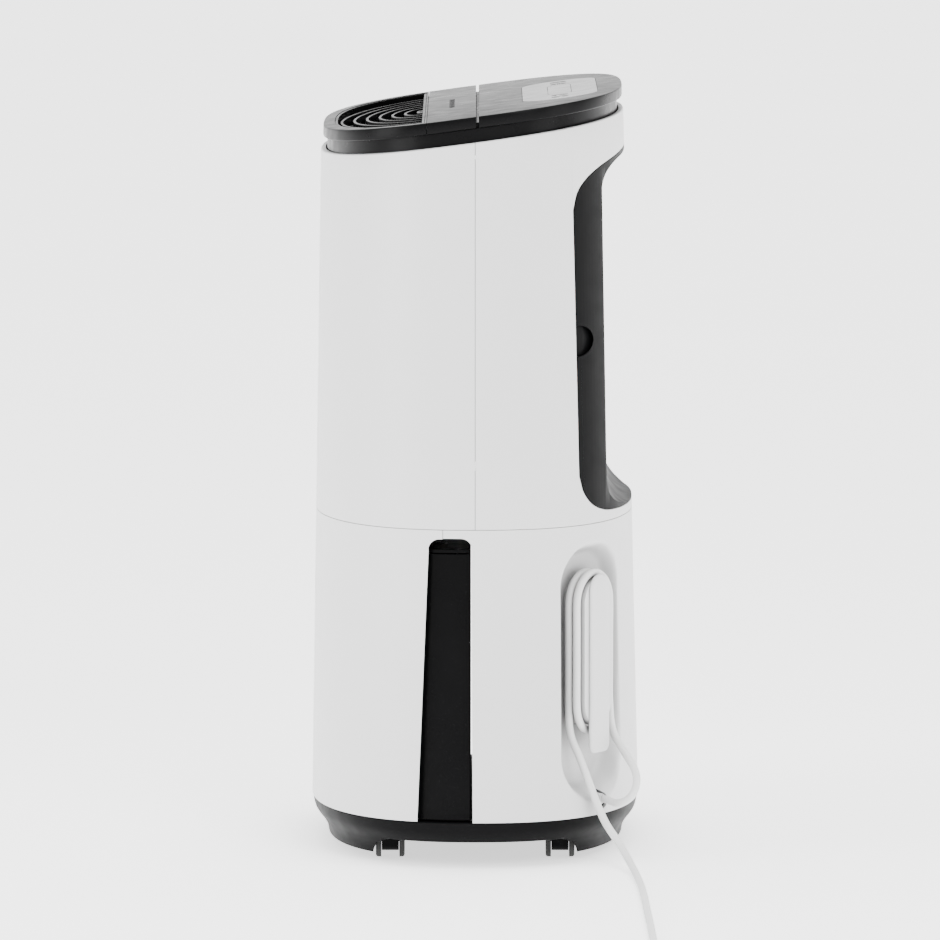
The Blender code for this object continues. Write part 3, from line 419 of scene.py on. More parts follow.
def dress(piece, slot, body, *nodes, edge=0.4, sharp=SHARP_ANGLE):
    """Finish a piece: edges, shading, material, the body it rides on and the nodes it stands for."""
    tidy(piece)
    mesh = piece.data
    mesh.transform(Matrix.Translation((0, 0, LIFT)))
    mesh.materials.clear()
    mesh.materials.append(LOOKS[slot])
    mesh.shade_smooth()
    mesh.set_sharp_from_angle(angle=math.radians(sharp))
    if edge:
        soften(piece, edge)
    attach(piece, body)
    if nodes:
        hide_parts(*nodes)
    return piece


# ---- Outlines
def superellipse(power, angles):
    points = []
    for angle in angles:
        cos, sin = math.cos(angle), math.sin(angle)
        reach = (abs(cos) ** power + abs(sin) ** power) ** (-1 / power)
        points.append((cos * reach, sin * reach))
    return points


ALL_ROUND = [math.tau * i / AROUND for i in range(AROUND)]
CASING_PLAN = superellipse(PLAN_POWER, ALL_ROUND)
DECK_PLAN = superellipse(DECK_POWER, ALL_ROUND)


def casing_point(x, y, z, inset=0.0, slope=0.0):
    share = max(0.0, (z + slope * y * HALF_DEPTH - PLINTH_TOP) / (EDGE_Z - PLINTH_TOP))
    half_width = HALF_WIDTH * (1 + (TAPER_WIDTH - 1) * share) - inset
    half_depth = HALF_DEPTH * (1 + (TAPER_DEPTH - 1) * share) - inset
    depth = y * half_depth + LEAN * share
    return Vector((x * half_width, depth, z + slope * depth))


def casing_ring(z, inset=0.0, slope=0.0):
    return [casing_point(x, y, z, inset, slope) for x, y in CASING_PLAN]


def deck_point(x, y, height):
    """A point given by its plan position and its height above the casing's sloping edge, in mm."""
    return Vector((x * MM, y * MM, EDGE_Z + SLOPE * y * MM + height * MM))


def deck_ring(height, inset=0.0):
    """The deck's outline, height and inset in mm."""
    wide, deep = DECK_HALF_WIDTH / MM - inset, DECK_HALF_DEPTH / MM - inset
    return [deck_point(x * wide, y * deep + LEAN / MM, height) for x, y in DECK_PLAN]


def arc(centre, radius, start, end, count=12):
    points = []
    for i in range(count + 1):
        angle = math.radians(start + (end - start) * i / count)
        points.append((centre[0] + radius * math.cos(angle), centre[1] + radius * math.sin(angle)))
    return points


def stadium(width, depth, count=32):
    radius = depth / 2
    reach = width / 2 - radius
    return arc((reach, 0), radius, -90, 90, count) + arc((-reach, 0), radius, 90, 270, count)


def rounded_box(width, depth, radius, count=10):
    points = []
    for start, side_x, side_y in ((0, 1, 1), (90, -1, 1), (180, -1, -1), (270, 1, -1)):
        corner = (side_x * (width / 2 - radius), side_y * (depth / 2 - radius))
        points += arc(corner, radius, start, start + 90, count)
    return points


def side_view(y, z, x):
    return Vector((x, y, z)) * MM


def in_recess(t, n, z):
    """A point in the cord recess's frame, in mm: along the wall, out of it and up."""
    return RECESS_ORIGIN + RECESS_ALONG * (t * MM) + RECESS_OUT * (n * MM) + Vector((0, 0, z * MM))


def catmull_rom(points, knots, at):
    level = list(points)
    for width in (1, 2, 3):
        blended = []
        for i in range(len(level) - 1):
            low, high = (1, 2) if width == 3 else (i, i + width)
            share = (at - knots[low]) / (knots[high] - knots[low])
            blended.append(level[i].lerp(level[i + 1], share))
        level = blended
    return level[0]


def smooth_line(route, step):
    """Points about a step apart on the centripetal Catmull-Rom curve through the route."""
    ends = [2 * route[0] - route[1], *route, 2 * route[-1] - route[-2]]
    line = []
    for a, b, c, d in zip(ends, ends[1:], ends[2:], ends[3:]):
        knots = [0.0]
        for p, q in ((a, b), (b, c), (c, d)):
            knots.append(knots[-1] + math.sqrt((q - p).length))
        count = max(1, round((c - b).length / step))
        for i in range(count):
            line.append(catmull_rom((a, b, c, d), knots, knots[1] + (knots[2] - knots[1]) * i / count))
    return [*line, route[-1]]


def smooth_outline(points, step=1.5):
    line = smooth_line([Vector((u, v, 0)) for u, v in points], step)
    return [(point.x, point.y) for point in line]


SPAN = 400  # mm, past the whole object


def deck_slab(name, y_low, y_high, height_low, height_high, half_width, middle=0):
    corners = [(-half_width, y_low), (half_width, y_low), (half_width, y_high), (-half_width, y_high)]
    return extruded(name, [(middle + x, y) for x, y in corners], deck_point, height_low, height_high)


def keep_between(thing, y_low, y_high):
    return keep_inside(thing, boxes("span", ((-SPAN, y_low, -SPAN), (SPAN, y_high, 2 * SPAN))))


def across(name, outline):
    """A (y, z) outline in mm swept right through the object from side to side."""
    return extruded(name, outline, side_view, -SPAN, SPAN)


def casing_wall(name, low, high, thick):
    rings = [casing_ring(low), casing_ring(high), casing_ring(high, thick), casing_ring(low, thick)]
    return skin(name, rings, closed=True)


def mirrored_x(side, low, high):
    if side > 0:
        return low, high
    return (-high[0], low[1], low[2]), (-low[0], high[1], high[2])


# ---- Upper casing and intake
def eased_edge(radius, steps=5):
    """(inset, drop) pairs of a rounded edge, from the side face round to the top face."""
    turns = [math.pi / 2 * i / steps for i in range(steps + 1)]
    return [(radius * (1 - math.cos(a)), radius * (1 - math.sin(a))) for a in turns]


def upper_outside():
    rings = [casing_ring(SEAM_Z + GAP / 2)]
    for inset, drop in eased_edge(1.3 * MM):
        rings.append(casing_ring(EDGE_Z - drop, inset, SLOPE))
    return rings


def front_casing():
    rings = upper_outside()
    rings += [casing_ring(EDGE_Z + height * MM, LIP, SLOPE) for height in (0, -2)]
    rings += [casing_ring(EDGE_Z - 4 * MM, WALL, SLOPE), casing_ring(SEAM_Z + GAP / 2, WALL)]
    casing = skin("front_casing", rings, closed=True)
    keep_between(casing, -SPAN, -0.15)
    dress(casing, "casing_white", "housing", "front_shell", edge=0.35)


def upper_hollow():
    rings = [casing_ring(SEAM_Z - 20 * MM, WALL), casing_ring(EDGE_Z - 4 * MM, WALL, SLOPE)]
    rings += [casing_ring(EDGE_Z + height * MM, LIP, SLOPE) for height in (-2, 20)]
    return skin("upper_hollow", rings)


def scoop_outline(offset):
    flat, lean, radius = 98.0 - offset, 4.0, 24.0 + offset
    top, foot = 542 + offset, 266 - offset
    points = [(SPAN, top + 4), (118, top - 1)]
    points += [(flat + radius + x, top - radius - 2 + z) for x, z in arc((0, 0), radius, 110, 180, 18)]
    points += [
        (flat + lean + radius + x, foot + radius + z) for x, z in arc((0, 0), radius, 180, 255, 18)
    ]
    return points + [(SPAN, foot - 3)]


def intake_outline(grow):
    upper = [(117, 544 + grow), (96, 534 + grow), (86, 526.5 + grow), (79 - grow, 517), (75.5 - grow, 503)]
    lower = [(80.5 - grow, 297), (84 - grow, 284), (91 - grow, 274 - grow), (101, 268 - grow)]
    lower += [(112, 266.4 - grow)]
    return (
        [(SPAN, 578 + grow)]
        + smooth_outline(upper)
        + smooth_outline(lower)
        + [(SPAN, 266.4 - grow)]
    )


def rear_wall(name, window):
    """The scooped rear wall, kept inside or outside the intake's window."""
    wall = skin(name, upper_outside())
    keep_between(wall, 0.15, SPAN)
    scoop = across("scoop", scoop_outline(0))
    inner = across("scoop_inner", scoop_outline(WALL / MM))
    cut(wall, cut(upper_hollow(), inner), scoop)
    if window > 0:
        return cut(wall, across("window", intake_outline(window)))
    return keep_inside(wall, across("window", intake_outline(0)))


NOTCH = Vector((0, 79, 401.5)) * MM
SLOT_ROWS, SLOT_FOOT, SLOT_STEP, SLOT_WIDE, SLOT_TALL = 14, 296, 15, 115, 10


def rear_casing():
    dress(rear_wall("rear_casing", 0.3), "casing_white", "housing", "rear_upper_shell", edge=0.35)


def intake():
    cover = rear_wall("intake_louvre", 0)
    cut(cover, rod("finger_notch", NOTCH, 12, 2 * SPAN, ALONG_X))
    slots = [(x, SLOT_FOOT + row * SLOT_STEP) for row in range(SLOT_ROWS) for x in (-118, 3)]
    openings = [((x, 80, z), (x + SLOT_WIDE, 130, z + SLOT_TALL)) for x, z in slots]
    cut(cover, boxes("slots", *openings))
    dress(cover, "black_plastic", "intake", "intake_cover", edge=0.5)
    louvres = [louvre(x + 0.2, x + SLOT_WIDE - 0.2, z + 3.5) for x, z in slots]
    dress(merged(*louvres, name="intake_blades"), "black_plastic", "intake", edge=0)
    mesh_screen()


def louvre(x_low, x_high, z):
    """One slanted blade across a slot."""
    section = [(98.2, z + 3.2), (97.6, z + 2.6), (94.8, z - 1.2), (95.0, z - 2.2), (95.9, z - 1.9)]
    section += [(98.6, z + 2.2)]
    return extruded("louvre", section, side_view, x_low, x_high)


def mesh_screen():
    """The washable filter: a frame with a fine grid of threads."""
    low, high = (corner / MM for corner in node_box("filter_screen"))
    rim = boxes("filter_frame", (low, high))
    inside = (low + Vector((6, -5, 6)), high + Vector((-6, 5, -6)))
    bars = [((-1.5, low.y + 0.3, low.z + 5), (1.5, high.y - 0.3, high.z - 5))]
    bars += [((low.x + 5, low.y + 0.3, z - 1), (high.x - 5, high.y - 0.3, z + 1)) for z in (347, 400, 453)]
    cut(rim, boxes("filter_opening", inside))
    merged(rim, boxes("filter_bars", *bars))
    dress(rim, "inner_grey", "intake", "filter_screen", edge=0.3)
    threads = []
    middle = (low.y + high.y) / 2
    x, z = low.x + 6, low.z + 6
    while x < high.x - 6:
        threads.append(((x, middle - 0.15, low.z + 5), (x + 0.35, middle + 0.15, high.z - 5)))
        x += 2.6
    while z < high.z - 6:
        threads.append(((low.x + 5, middle - 0.15, z), (high.x - 5, middle + 0.15, z + 0.35)))
        z += 2.6
    dress(boxes("filter_mesh", *threads), "inner_grey", "intake", edge=0)


# ---- Lower casing
RECESS_MIDDLE_Z = 145.5
# How far inside (-) or outside (+) the recess's outline a point is, and how deep the wall is there.
RECESS_WALL = [(-60, -19), (-12.5, -19), (-10.5, -18.4), (-8.5, -16.5), (-6.5, -12.3), (-4, -6)]
RECESS_WALL += [(-1.5, -1.4), (1.5, 3), (6, 8.5), (12, 18), (22, 40), (400, 400)]


def recess_depth(t, z):
    """How far out of the wall plane the recess's surface stands, in mm."""
    half_wide, half_tall, radius = 43.5, 99, 34
    past = (abs(t + 1.5) - half_wide + radius, abs(z - RECESS_MIDDLE_Z) - half_tall + radius)
    outside = math.hypot(max(past[0], 0), max(past[1], 0)) + min(max(past), 0) - radius
    for (a, low), (b, high) in zip(RECESS_WALL, RECESS_WALL[1:]):
        if outside <= b:
            return low + (high - low) * max(0, outside - a) / (b - a)
    return RECESS_WALL[-1][1]


def soft_minimum(a, b, blend):
    share = max(0.0, min(1.0, 0.5 + (b - a) / (2 * blend)))
    return b + (a - b) * share - blend * share * (1 - share)


def lower_rear_casing():
    """The casing behind the tank, with the softly edged cord recess pressed into it."""
    start = math.asin(-0.0155)
    angles = []
    angle = start
    while angle < math.pi - start:
        angles.append(angle)
        near_recess = math.radians(6) < angle < math.radians(66)
        angle += math.radians(0.32 if near_recess else 1.3)
    angles.append(math.pi - start)
    plan = superellipse(PLAN_POWER, angles)
    low, high = PLINTH_TOP, SEAM_Z - GAP / 2
    rows = 190
    points, faces = [], []
    for row in range(rows + 1):
        z = low + (high - low) * row / rows
        for x, y in plan:
            point = casing_point(x, y, z)
            from_origin = point - RECESS_ORIGIN
            t, n = from_origin.dot(RECESS_ALONG) / MM, from_origin.dot(RECESS_OUT) / MM
            if n > -30 and abs(t) < 75:
                n_new = soft_minimum(n, recess_depth(t, z / MM), 3.0)
                point -= RECESS_OUT * ((n - n_new) * MM)
            points.append(point)
    wide = len(plan)
    for row in range(rows):
        for i in range(wide - 1):
            a = row * wide + i
            faces.append((a, a + 1, a + wide + 1, a + wide))
    mesh = bpy.data.meshes.new("lower_rear_casing")
    mesh.from_pydata([tuple(p) for p in points], [], faces)
    casing = add_object("lower_rear_casing", mesh)
    thick = casing.modifiers.new("wall", "SOLIDIFY")
    thick.thickness = WALL
    thick.offset = -1
    thick.use_even_offset = True
    settle(casing)
    cut(casing, rod("tunnel", in_recess(EXIT_ALONG, 10, EXIT_Z), 7.5, 60, RECESS_OUT, sides=48))
    dress(casing, "casing_white", "housing", "rear_lower_shell", edge=0.35, sharp=50)


BAND_LOW = 252.3
CHANNEL_CORNER = 8.5


def band_over_channel():
    """The narrow band over each side channel, and the roof over the tank that it belongs to."""
    low, high = (BAND_LOW - 12) * MM, SEAM_Z - GAP / 2
    band = casing_wall("bay_roof", low, high, 3 * MM)
    corner = (-2.4 - CHANNEL_CORNER, BAND_LOW - CHANNEL_CORNER)
    outline = [(-24.7, BAND_LOW)] + arc(corner, CHANNEL_CORNER, 90, 0, 16)
    outline += [(-2.4, SPAN), (-24.7, SPAN)]
    keep_inside(band, across("band_side", outline))
    top = (BAND_LOW + 2.5) * MM
    plate = skin("roof_plate", [casing_ring(BAND_LOW * MM, 10 * MM), casing_ring(top, 10 * MM)])
    keep_between(plate, -112, -2.4)
    cut(plate, rod("drip_hole", Vector((0, -30, 255)) * MM, 11, 30))
    dress(merged(band, plate), "casing_white", "housing", "tank_bay_roof", edge=0.35)


def tank_front():
    front = casing_wall("tank_front", PLINTH_TOP + GAP, SEAM_Z - GAP / 2, 2.6 * MM)
    outline = [(-200, -50), (-45.2, -50), (-44.5, 34), (-35.8, 243)]
    outline += arc((-27.5, BAND_LOW - 0.5 - CHANNEL_CORNER), CHANNEL_CORNER, 175, 90, 16)
    outline += [(-25, BAND_LOW - 0.5), (-25, 300), (-200, 300)]
    keep_inside(front, across("front_side", outline))
    dress(front, "casing_white", "tank", "tank_fascia", edge=0.35)


def tub_block(name, low, high, front_inset, rear_inset, step_y, back_y):
    rings = [casing_ring(z * MM, front_inset * MM) for z in (low, high)]
    block = skin(name, rings)
    keep_between(block, -SPAN, step_y)
    rear = skin("rear_block", [casing_ring(z * MM, rear_inset * MM) for z in (low, high)])
    keep_between(rear, step_y - 12, back_y)
    return join(block, rear)


def tank():
    tub = tub_block("smoked_tub", 32.7, 240, 3, 7, -47, -3.4)
    cut(tub, tub_block("tub_inside", 35.7, 300, 5.4, 9.4, -49.4, -5.8))
    dress(tub, "smoked_tank", "tank", "tank_tub", edge=0.8)
    lid = tub_block("tub_lid", 240.3, 243.3, 3.6, 7.6, -47.6, -4)
    cut(lid, rod("pour_hole", Vector((0, -30, 242)) * MM, 14, 20))
    lugs = boxes("lugs", ((50, -65, 228), (52.5, -55, 242)), ((63.5, -65, 228), (66, -55, 242)))
    cut(lugs, rod("lug_bore", Vector((58, -60, 232)) * MM, 1.9, 30, ALONG_X))
    collar = turned(
        "pour_collar",
        [(14.2, 0), (17, 0), (16.4, 2.2), (14.2, 2.2)],
        Vector((0, -30, 243.2)) * MM,
    )
    dress(merged(lid, lugs, collar), "smoked_tank", "tank", "tank_lid", edge=0.5)


# ---- Base and casters
CORNERS = {
    "front_right": (1, -1), "rear_right": (1, 1), "front_left": (-1, -1), "rear_left": (-1, 1)
}
CASTER_X, CASTER_Y, CASTER_TRAIL, WHEEL_RADIUS = 118, 66, 6, 14


def base():
    skirt = [(31.7, 0.8), (28, 1.1), (25, 1.8), (23.2, 2.5), (21.7, 3.4), (20.2, 4.4), (18.7, 5.6)]
    skirt += [(17.2, 6.8), (15.7, 8.0), (14.4, 8.9), (13.2, 9.6), (12, 10.3), (10.7, 11.0), (8.8, 11.8)]
    skirt += [(6.7, 12.3), (4.6, 12.7), (2.6, 13.0)]
    plinth = skin("plinth", [casing_ring(z * MM, inset * MM) for z, inset in reversed(skirt)])
    inner = [(-2.0, 16.2), (6.7, 15.4), (13.2, 13.0), (18.7, 9.2), (23.7, 5.6), (29.2, 4.4)]
    hollow = skin("plinth_hollow", [casing_ring(z * MM, inset * MM) for z, inset in inner])
    arch = [(79, -15), *arc((64, 1.8), 15, 0, 90), *arc((-64, 1.8), 15, 90, 180), (-79, -15)]
    arch = [(y, 1.8 + (z - 1.8) * 14 / 15 if z > 1.8 else z) for y, z in arch]
    cut(plinth, hollow, across("arch", arch))
    for side_x, side_y in CORNERS.values():
        spot = Vector((side_x * CASTER_X, side_y * CASTER_Y, 23.4)) * MM
        join(plinth, rod("boss", spot, 6.7, 13.2))
        cut(plinth, rod("bore", spot - Vector((0, 0, 5.1 * MM)), 4.4, 11))
    dress(triangulated(plinth), "black_plastic", "housing", "base_plinth", edge=0.5)


def casters():
    for corner, (side_x, side_y) in CORNERS.items():
        swivel = Vector((side_x * CASTER_X, side_y * CASTER_Y, -LIFT / MM)) * MM
        hub = swivel + Vector((side_x * CASTER_TRAIL, 0, WHEEL_RADIUS)) * MM
        outline = arc((0, 0), 9, 150, 400, 48) + [(-1, 6.3), (-11, 6.3)]
        outline = [(side_x * u, v) for u, v in outline]
        fork = extruded(
            "caster_fork_" + corner, outline, lambda u, v, w: hub + Vector((u, w, v)) * MM, -6.6, 6.6
        )
        tidy(fork)
        join(fork, rod("stem", swivel + Vector((0, 0, 21.5 * MM)), 4, 9.4))
        cut(fork, rod("axle_bore", hub, 2.3, 40, ALONG_Y))
        dress(fork, "black_plastic", "swivel_" + corner, "caster_body_" + corner, edge=0.4)
        wheel_pair(corner, hub)


def wheel_pair(corner, hub):
    """Two small wheels on one axle, each with a rounded tread and a dished, ribbed face."""
    wheels = []
    for side in (-1, 1):
        face = [(14, 7.1), (14, 9.6), (13.4, 10.8), (12.2, 11.2), (11, 11.0), (10.2, 9.6), (4, 9.2)]
        face += [(3.4, 11.0), (0, 11.2), (0, 7.1)]
        section = [(r, side * w) for r, w in face]
        wheels.append(turned("wheel", section, hub, ALONG_Y, 64))
        for spoke in range(6):
            turn = Matrix.Rotation(math.tau * spoke / 6, 4, "Y")
            low, high = sorted((side * 9.0, side * 10.2))
            rib = boxes("rib", ((-0.6, low, 3), (0.6, high, 10.6)))
            rib.data.transform(Matrix.Translation(hub) @ turn)
            wheels.append(rib)
    wheels.append(rod("axle", hub, 2, 15, ALONG_Y))
    pair = merged(*wheels, name="caster_wheel_pair_" + corner)
    dress(pair, "rubber_black", "wheels_" + corner, "caster_wheels_" + corner, edge=0)


# ---- Deck
HANDLE_FRONT, HANDLE_BACK = -37, 0.7
GRILLE_BACK, GRILLE_MARGIN = -38.6, 9
PANEL_Y = 66


def collar():
    rings = []
    for height, inset in ((-10, 5), (10.5, 5), (10.5, 8), (-10, 8)):
        rings.append(casing_ring(EDGE_Z + height * MM, inset * MM, SLOPE))
    neck = skin("deck_neck", rings, closed=True)
    dress(neck, "deck_black", "housing", "deck_collar", edge=0.3)


def rim_profile():
    top, low, ease = DECK_DEPTH / MM, 10.8, RIM_EASE / MM
    rings = [deck_ring(low + drop, inset) for inset, drop in reversed(eased_edge(ease))]
    return rings + [deck_ring(top - drop, inset) for inset, drop in eased_edge(ease)]


def panel_outline(grow, wide=213, deep=58):
    return [(x, y + PANEL_Y) for x, y in stadium(wide + 2 * grow, deep + 2 * grow)]


def deck():
    rim = skin("deck_rim", rim_profile())
    opening = skin("grille_opening", [deck_ring(0, GRILLE_MARGIN), deck_ring(40, GRILLE_MARGIN)])
    keep_between(opening, -SPAN, GRILLE_BACK)
    front, back = HANDLE_FRONT - 0.35, HANDLE_BACK + 2.2
    cutters = [opening, deck_slab("handle_channel", front, back, 14.8, 40, SPAN)]
    for side in (-1, 1):
        middle = side * (DECK_HALF_WIDTH / MM - 7.3 + 30)
        cutters.append(deck_slab("handle_end_notch", front, back, 0, 40, 30, middle=middle))
        cutters.append(boxes("arm_slot", mirrored_x(side, (157.4, -29.8, 520), (162.2, -7.2, 600))))
    cutters.append(extruded("panel_tray", panel_outline(0.3), deck_point, 16.7, 40))
    cutters.append(extruded("panel_window", panel_outline(-6), deck_point, 0, 40))
    cut(rim, *cutters)
    dress(rim, "deck_black", "housing", "deck_frame", edge=0.35)


def handle():
    bar = skin("lift_handle", rim_profile())
    keep_between(bar, HANDLE_FRONT, HANDLE_BACK)
    cut(bar, deck_slab("under_handle", -60, 30, 0, 15.1, DECK_HALF_WIDTH / MM - 7))
    for side in (-1, 1):
        join(bar, boxes("handle_arm", mirrored_x(side, (158, -29, 484), (161.6, -8, 571.8))))
    dress(bar, "deck_black", "handle", "carry_handle", edge=0.35)
    grip_dots = []
    for i in range(9):
        middle = deck_point((i - 4) * 11, (HANDLE_FRONT + HANDLE_BACK) / 2, 19.8)
        grip_dots.append(rod("dot", middle, 2.2, 0.5, DECK_NORMAL, 32))
    dress(merged(*grip_dots, name="handle_grip_dots"), "black_plastic", "handle", edge=0.15)


def grille():
    """Concentric vanes, open towards the handle, on ribs inside a ring."""
    top, foot, margin = 16.8, 11.4, GRILLE_MARGIN + GAP / MM
    ring = skin("outlet_vanes", [deck_ring(foot - 0.4, margin), deck_ring(19.3, margin)])
    keep_between(ring, -SPAN, GRILLE_BACK - 0.3)
    core = skin("grille_core", [deck_ring(-30, margin + 2), deck_ring(50, margin + 2)])
    keep_between(core, -SPAN, GRILLE_BACK - 2.3)
    cut(ring, core)
    parts = []
    for x, reach in ((0, -106), (-60, -102.5), (60, -102.5), (-118, -86), (118, -86)):
        parts.append(deck_slab("rib", reach, GRILLE_BACK - 1.5, foot - 0.4, foot + 1.4, 1, middle=x))
    for step in range(7):
        parts.append(vane(16 + 21.5 * step, 6.2 + 9.95 * step, foot, top))
    dress(merged(ring, *parts), "deck_black", "housing", "outlet_grille", edge=0.4)


def vane(half_width, half_depth, foot, top):
    centre, thick = GRILLE_BACK - 1.2, 2
    steps = 96
    outline = []
    for grow in (0, -thick):
        side = []
        for i in range(steps + 1):
            angle = math.pi * (1 + i / steps)
            reach_x, reach_y = half_width + grow, half_depth + grow
            side.append((reach_x * math.cos(angle), centre + reach_y * math.sin(angle)))
        outline += side if grow == 0 else list(reversed(side))
    return tidy(extruded("vane", outline, deck_point, foot, top))


BUTTONS = {"power": -86, "mode": -66, "humidity": 66, "fan": 86}


def controls():
    panel = extruded("touch_panel", panel_outline(0), deck_point, 17, DECK_DEPTH / MM)
    tidy(panel)
    cut(panel, extruded("window_seat", panel_outline(0.3, 106, 18), deck_point, 18.2, 40))
    for x in BUTTONS.values():
        cut(panel, rod("button_hole", deck_point(x, PANEL_Y, 18), 6.6, 20, DECK_NORMAL))
    dress(panel, "panel_gloss", "housing", "control_panel", edge=0.25)
    window = extruded("readout_window", panel_outline(0, 106, 18), deck_point, 18.5, DECK_DEPTH / MM)
    dress(window, "panel_gloss", "housing", "display_window", edge=0.25)
    for name, x in BUTTONS.items():
        body = f"button_{name}_body"
        key = []
        for height, radius, length in ((17.6, 6.2, 4), (15, 7.8, 1.6), (7.5, 2, 22)):
            key.append(rod("key", deck_point(x, PANEL_Y, height), radius, length, DECK_NORMAL))
        dress(merged(*key, name="key_" + name), "deck_black", body, "button_" + name, edge=0.4)
        dress(button_symbol(name, x), "cord_white", body, edge=0)


MARK_FOOT, MARK_TOP = 19.4, 19.66


def ring_mark(x, y, outer, inner, start=0, end=360):
    """A flat arc, standing 0.06 mm proud of a key."""
    outline = arc((x, y), outer, start, end, 40) + arc((x, y), inner, end, start, 40)
    return tidy(extruded("ring_mark", outline, deck_point, MARK_FOOT, MARK_TOP))


def bar_mark(x, y, half_width, half_depth):
    return deck_slab("bar_mark", y - half_depth, y + half_depth, MARK_FOOT, MARK_TOP, half_width, middle=x)


def button_symbol(name, x):
    """A generic pictogram: power ring, three bars, a drop, or a three-bladed fan."""
    y = PANEL_Y
    if name == "power":
        marks = [ring_mark(x, y, 3.2, 2.6, 120, 420), bar_mark(x, y + 2.6, 0.3, 1.6)]
    elif name == "mode":
        marks = [bar_mark(x, y + row * 1.9, 2.6, 0.35) for row in (-1, 0, 1)]
    elif name == "humidity":
        drop = arc((x, y - 0.9), 2.1, 150, 390, 30) + [(x, y + 3.4)]
        marks = [extruded("drop", drop, deck_point, MARK_FOOT, MARK_TOP)]
    else:
        marks = []
        for blade in range(3):
            turn = math.tau * blade / 3
            marks.append(ring_mark(x + 1.5 * math.cos(turn), y + 1.5 * math.sin(turn), 1.5, 0.8))
    return merged(*marks, name="key_symbol_" + name)


# ---- Inside pieces
FIN_END, FIN_STEP, FIN_FOOT, FIN_TOP = 112.0, 1.6, 296, 500


def fin_stack(node, name):
    """A heat exchanger: thin fins between two end plates, with copper tubes through them."""
    low, high = (corner / MM for corner in node_box(node))
    plates = []
    x = -FIN_END
    while x <= FIN_END:
        thick = 1.0 if x == -FIN_END else 0.3
        plates.append(((x - thick / 2, low.y, FIN_FOOT), (x + thick / 2, high.y, FIN_TOP)))
        x += FIN_STEP
    plates.append(((FIN_END - 0.5, low.y, FIN_FOOT), (FIN_END + 0.5, high.y, FIN_TOP)))
    dress(boxes(name + "_fins", *plates), "aluminium_fins", "housing", node, edge=0)
    middle = (low.y + high.y) / 2
    pipes = []
    for i in range(4):
        z = 325 + 50 * i
        for height in (z - 10, z + 10):
            pipes.append(rod("pipe", Vector((0, middle, height)) * MM, 3, 2 * FIN_END, ALONG_X, 24))
        bend = [Vector((FIN_END, middle, z - 10))]
        bend += [Vector((113 + 9 * math.sin(a), middle, z - 10 * math.cos(a))) for a in steps_to(math.pi)]
        bend.append(Vector((FIN_END, middle, z + 10)))
        pipes.append(pipe_mesh("return_bend", [point * MM for point in bend], 3 * MM))
    dress(merged(*pipes, name=name + "_tubes"), "copper", "housing", edge=0)


def steps_to(end, count=12):
    return [end * i / count for i in range(count + 1)]


def pipe_mesh(name, line, radius, sides=24):
    """A round tube along a line, its rings turned without twist."""
    rings = []
    across = Vector((0, 1, 0))
    for i, point in enumerate(line):
        ahead = (line[min(i + 1, len(line) - 1)] - line[max(i - 1, 0)]).normalized()
        across = (across - ahead * across.dot(ahead)).normalized()
        other = ahead.cross(across)
        ring = []
        for k in range(sides):
            angle = math.tau * k / sides
            ring.append(point + (across * math.cos(angle) + other * math.sin(angle)) * radius)
        rings.append(ring)
    return skin(name, rings)


def fan_wheel():
    """A centrifugal wheel: back plate, hub, front ring and forward-curved blades."""
    centre = Vector((0, 0, 400)) * MM
    section = [(0, -68), (84, -68), (84, -65), (14, -65), (14, -50), (0, -50)]
    disc = turned("blower_wheel", section, centre, ALONG_Y)
    section = [(76, -13), (84, -13), (84, -10), (76, -10)]
    parts = [turned("front_ring", section, centre, ALONG_Y)]
    count = 40
    for i in range(count):
        turn = Matrix.Rotation(math.tau * i / count, 4, "Y")
        curve = [(83, 0), (80, 2.2), (76.5, 3.2), (73, 3.2)]
        outline = curve + [(r, w + 0.9) for r, w in reversed(curve)]
        blade = extruded("blade", outline, lambda u, v, w: Vector((v, w, u)) * MM, -66, -12)
        blade.data.transform(Matrix.Translation(centre) @ turn)
        parts.append(blade)
    dress(merged(disc, *parts), "black_plastic", "impeller", "fan_impeller", edge=0)


def carried_over():
    """CAD nodes whose shape is right take the look of their slot."""
    for row in frame["record"]["subparts"]:
        node = frame["nodes"][row["node"]]
        node.data.materials.clear()
        node.data.materials.append(LOOKS[row["material_slot"]])


# ---- Cord
EXIT_ROUTE = [(4, 3.4, 43.5), (4, 8, 43), (4.6, 14.5, 41), (6, 22.5, 43.1), (7.8, 28.4, 49)]
EXIT_ROUTE += [(9.8, 30.5, 57), (11.6, 29, 63.8), (13.7, 24.8, 69.3), (17.3, 16.5, 76.6)]
EXIT_ROUTE += [(19.9, 9.5, 82.8), (21.6, 4.3, 88), (22.5, 0.6, 93.5), (22.9, -1.7, 100)]
LEAD_ROUTE = [(-23, -10.4, 102.5), (-22.6, -8.5, 93), (-21, -2.5, 79), (-18, 4.2, 60)]
LEAD_ROUTE += [(-14.8, 9.5, 43.5), (-12, 15.5, 28.5)]
FLOOR_ROUTE = [(172, 110, 19.2), (188, 115.4, 12.2), (206, 119.2, 7.4), (230, 122.2, 4.5)]
FLOOR_ROUTE += [(262, 124.5, 3.2), (300, 126.2, 3.1), (350, 127.4, 3.1), (404, 128.2, 3.1)]
FLOOR_ROUTE += [(470, 129.2, 3.1), (540, 130.1, 3.1), (600, 130.8, 3.1), (640, 131, 3.1), (659, 131, 3.1)]
COIL_CENTRE = Vector((686, 95, -LIFT / MM))
TAIL_ROUTE = [(33, -27.2, 8.7), (33, -34, 8.6), (33, -40, 8.9)]  # from the coil's centre


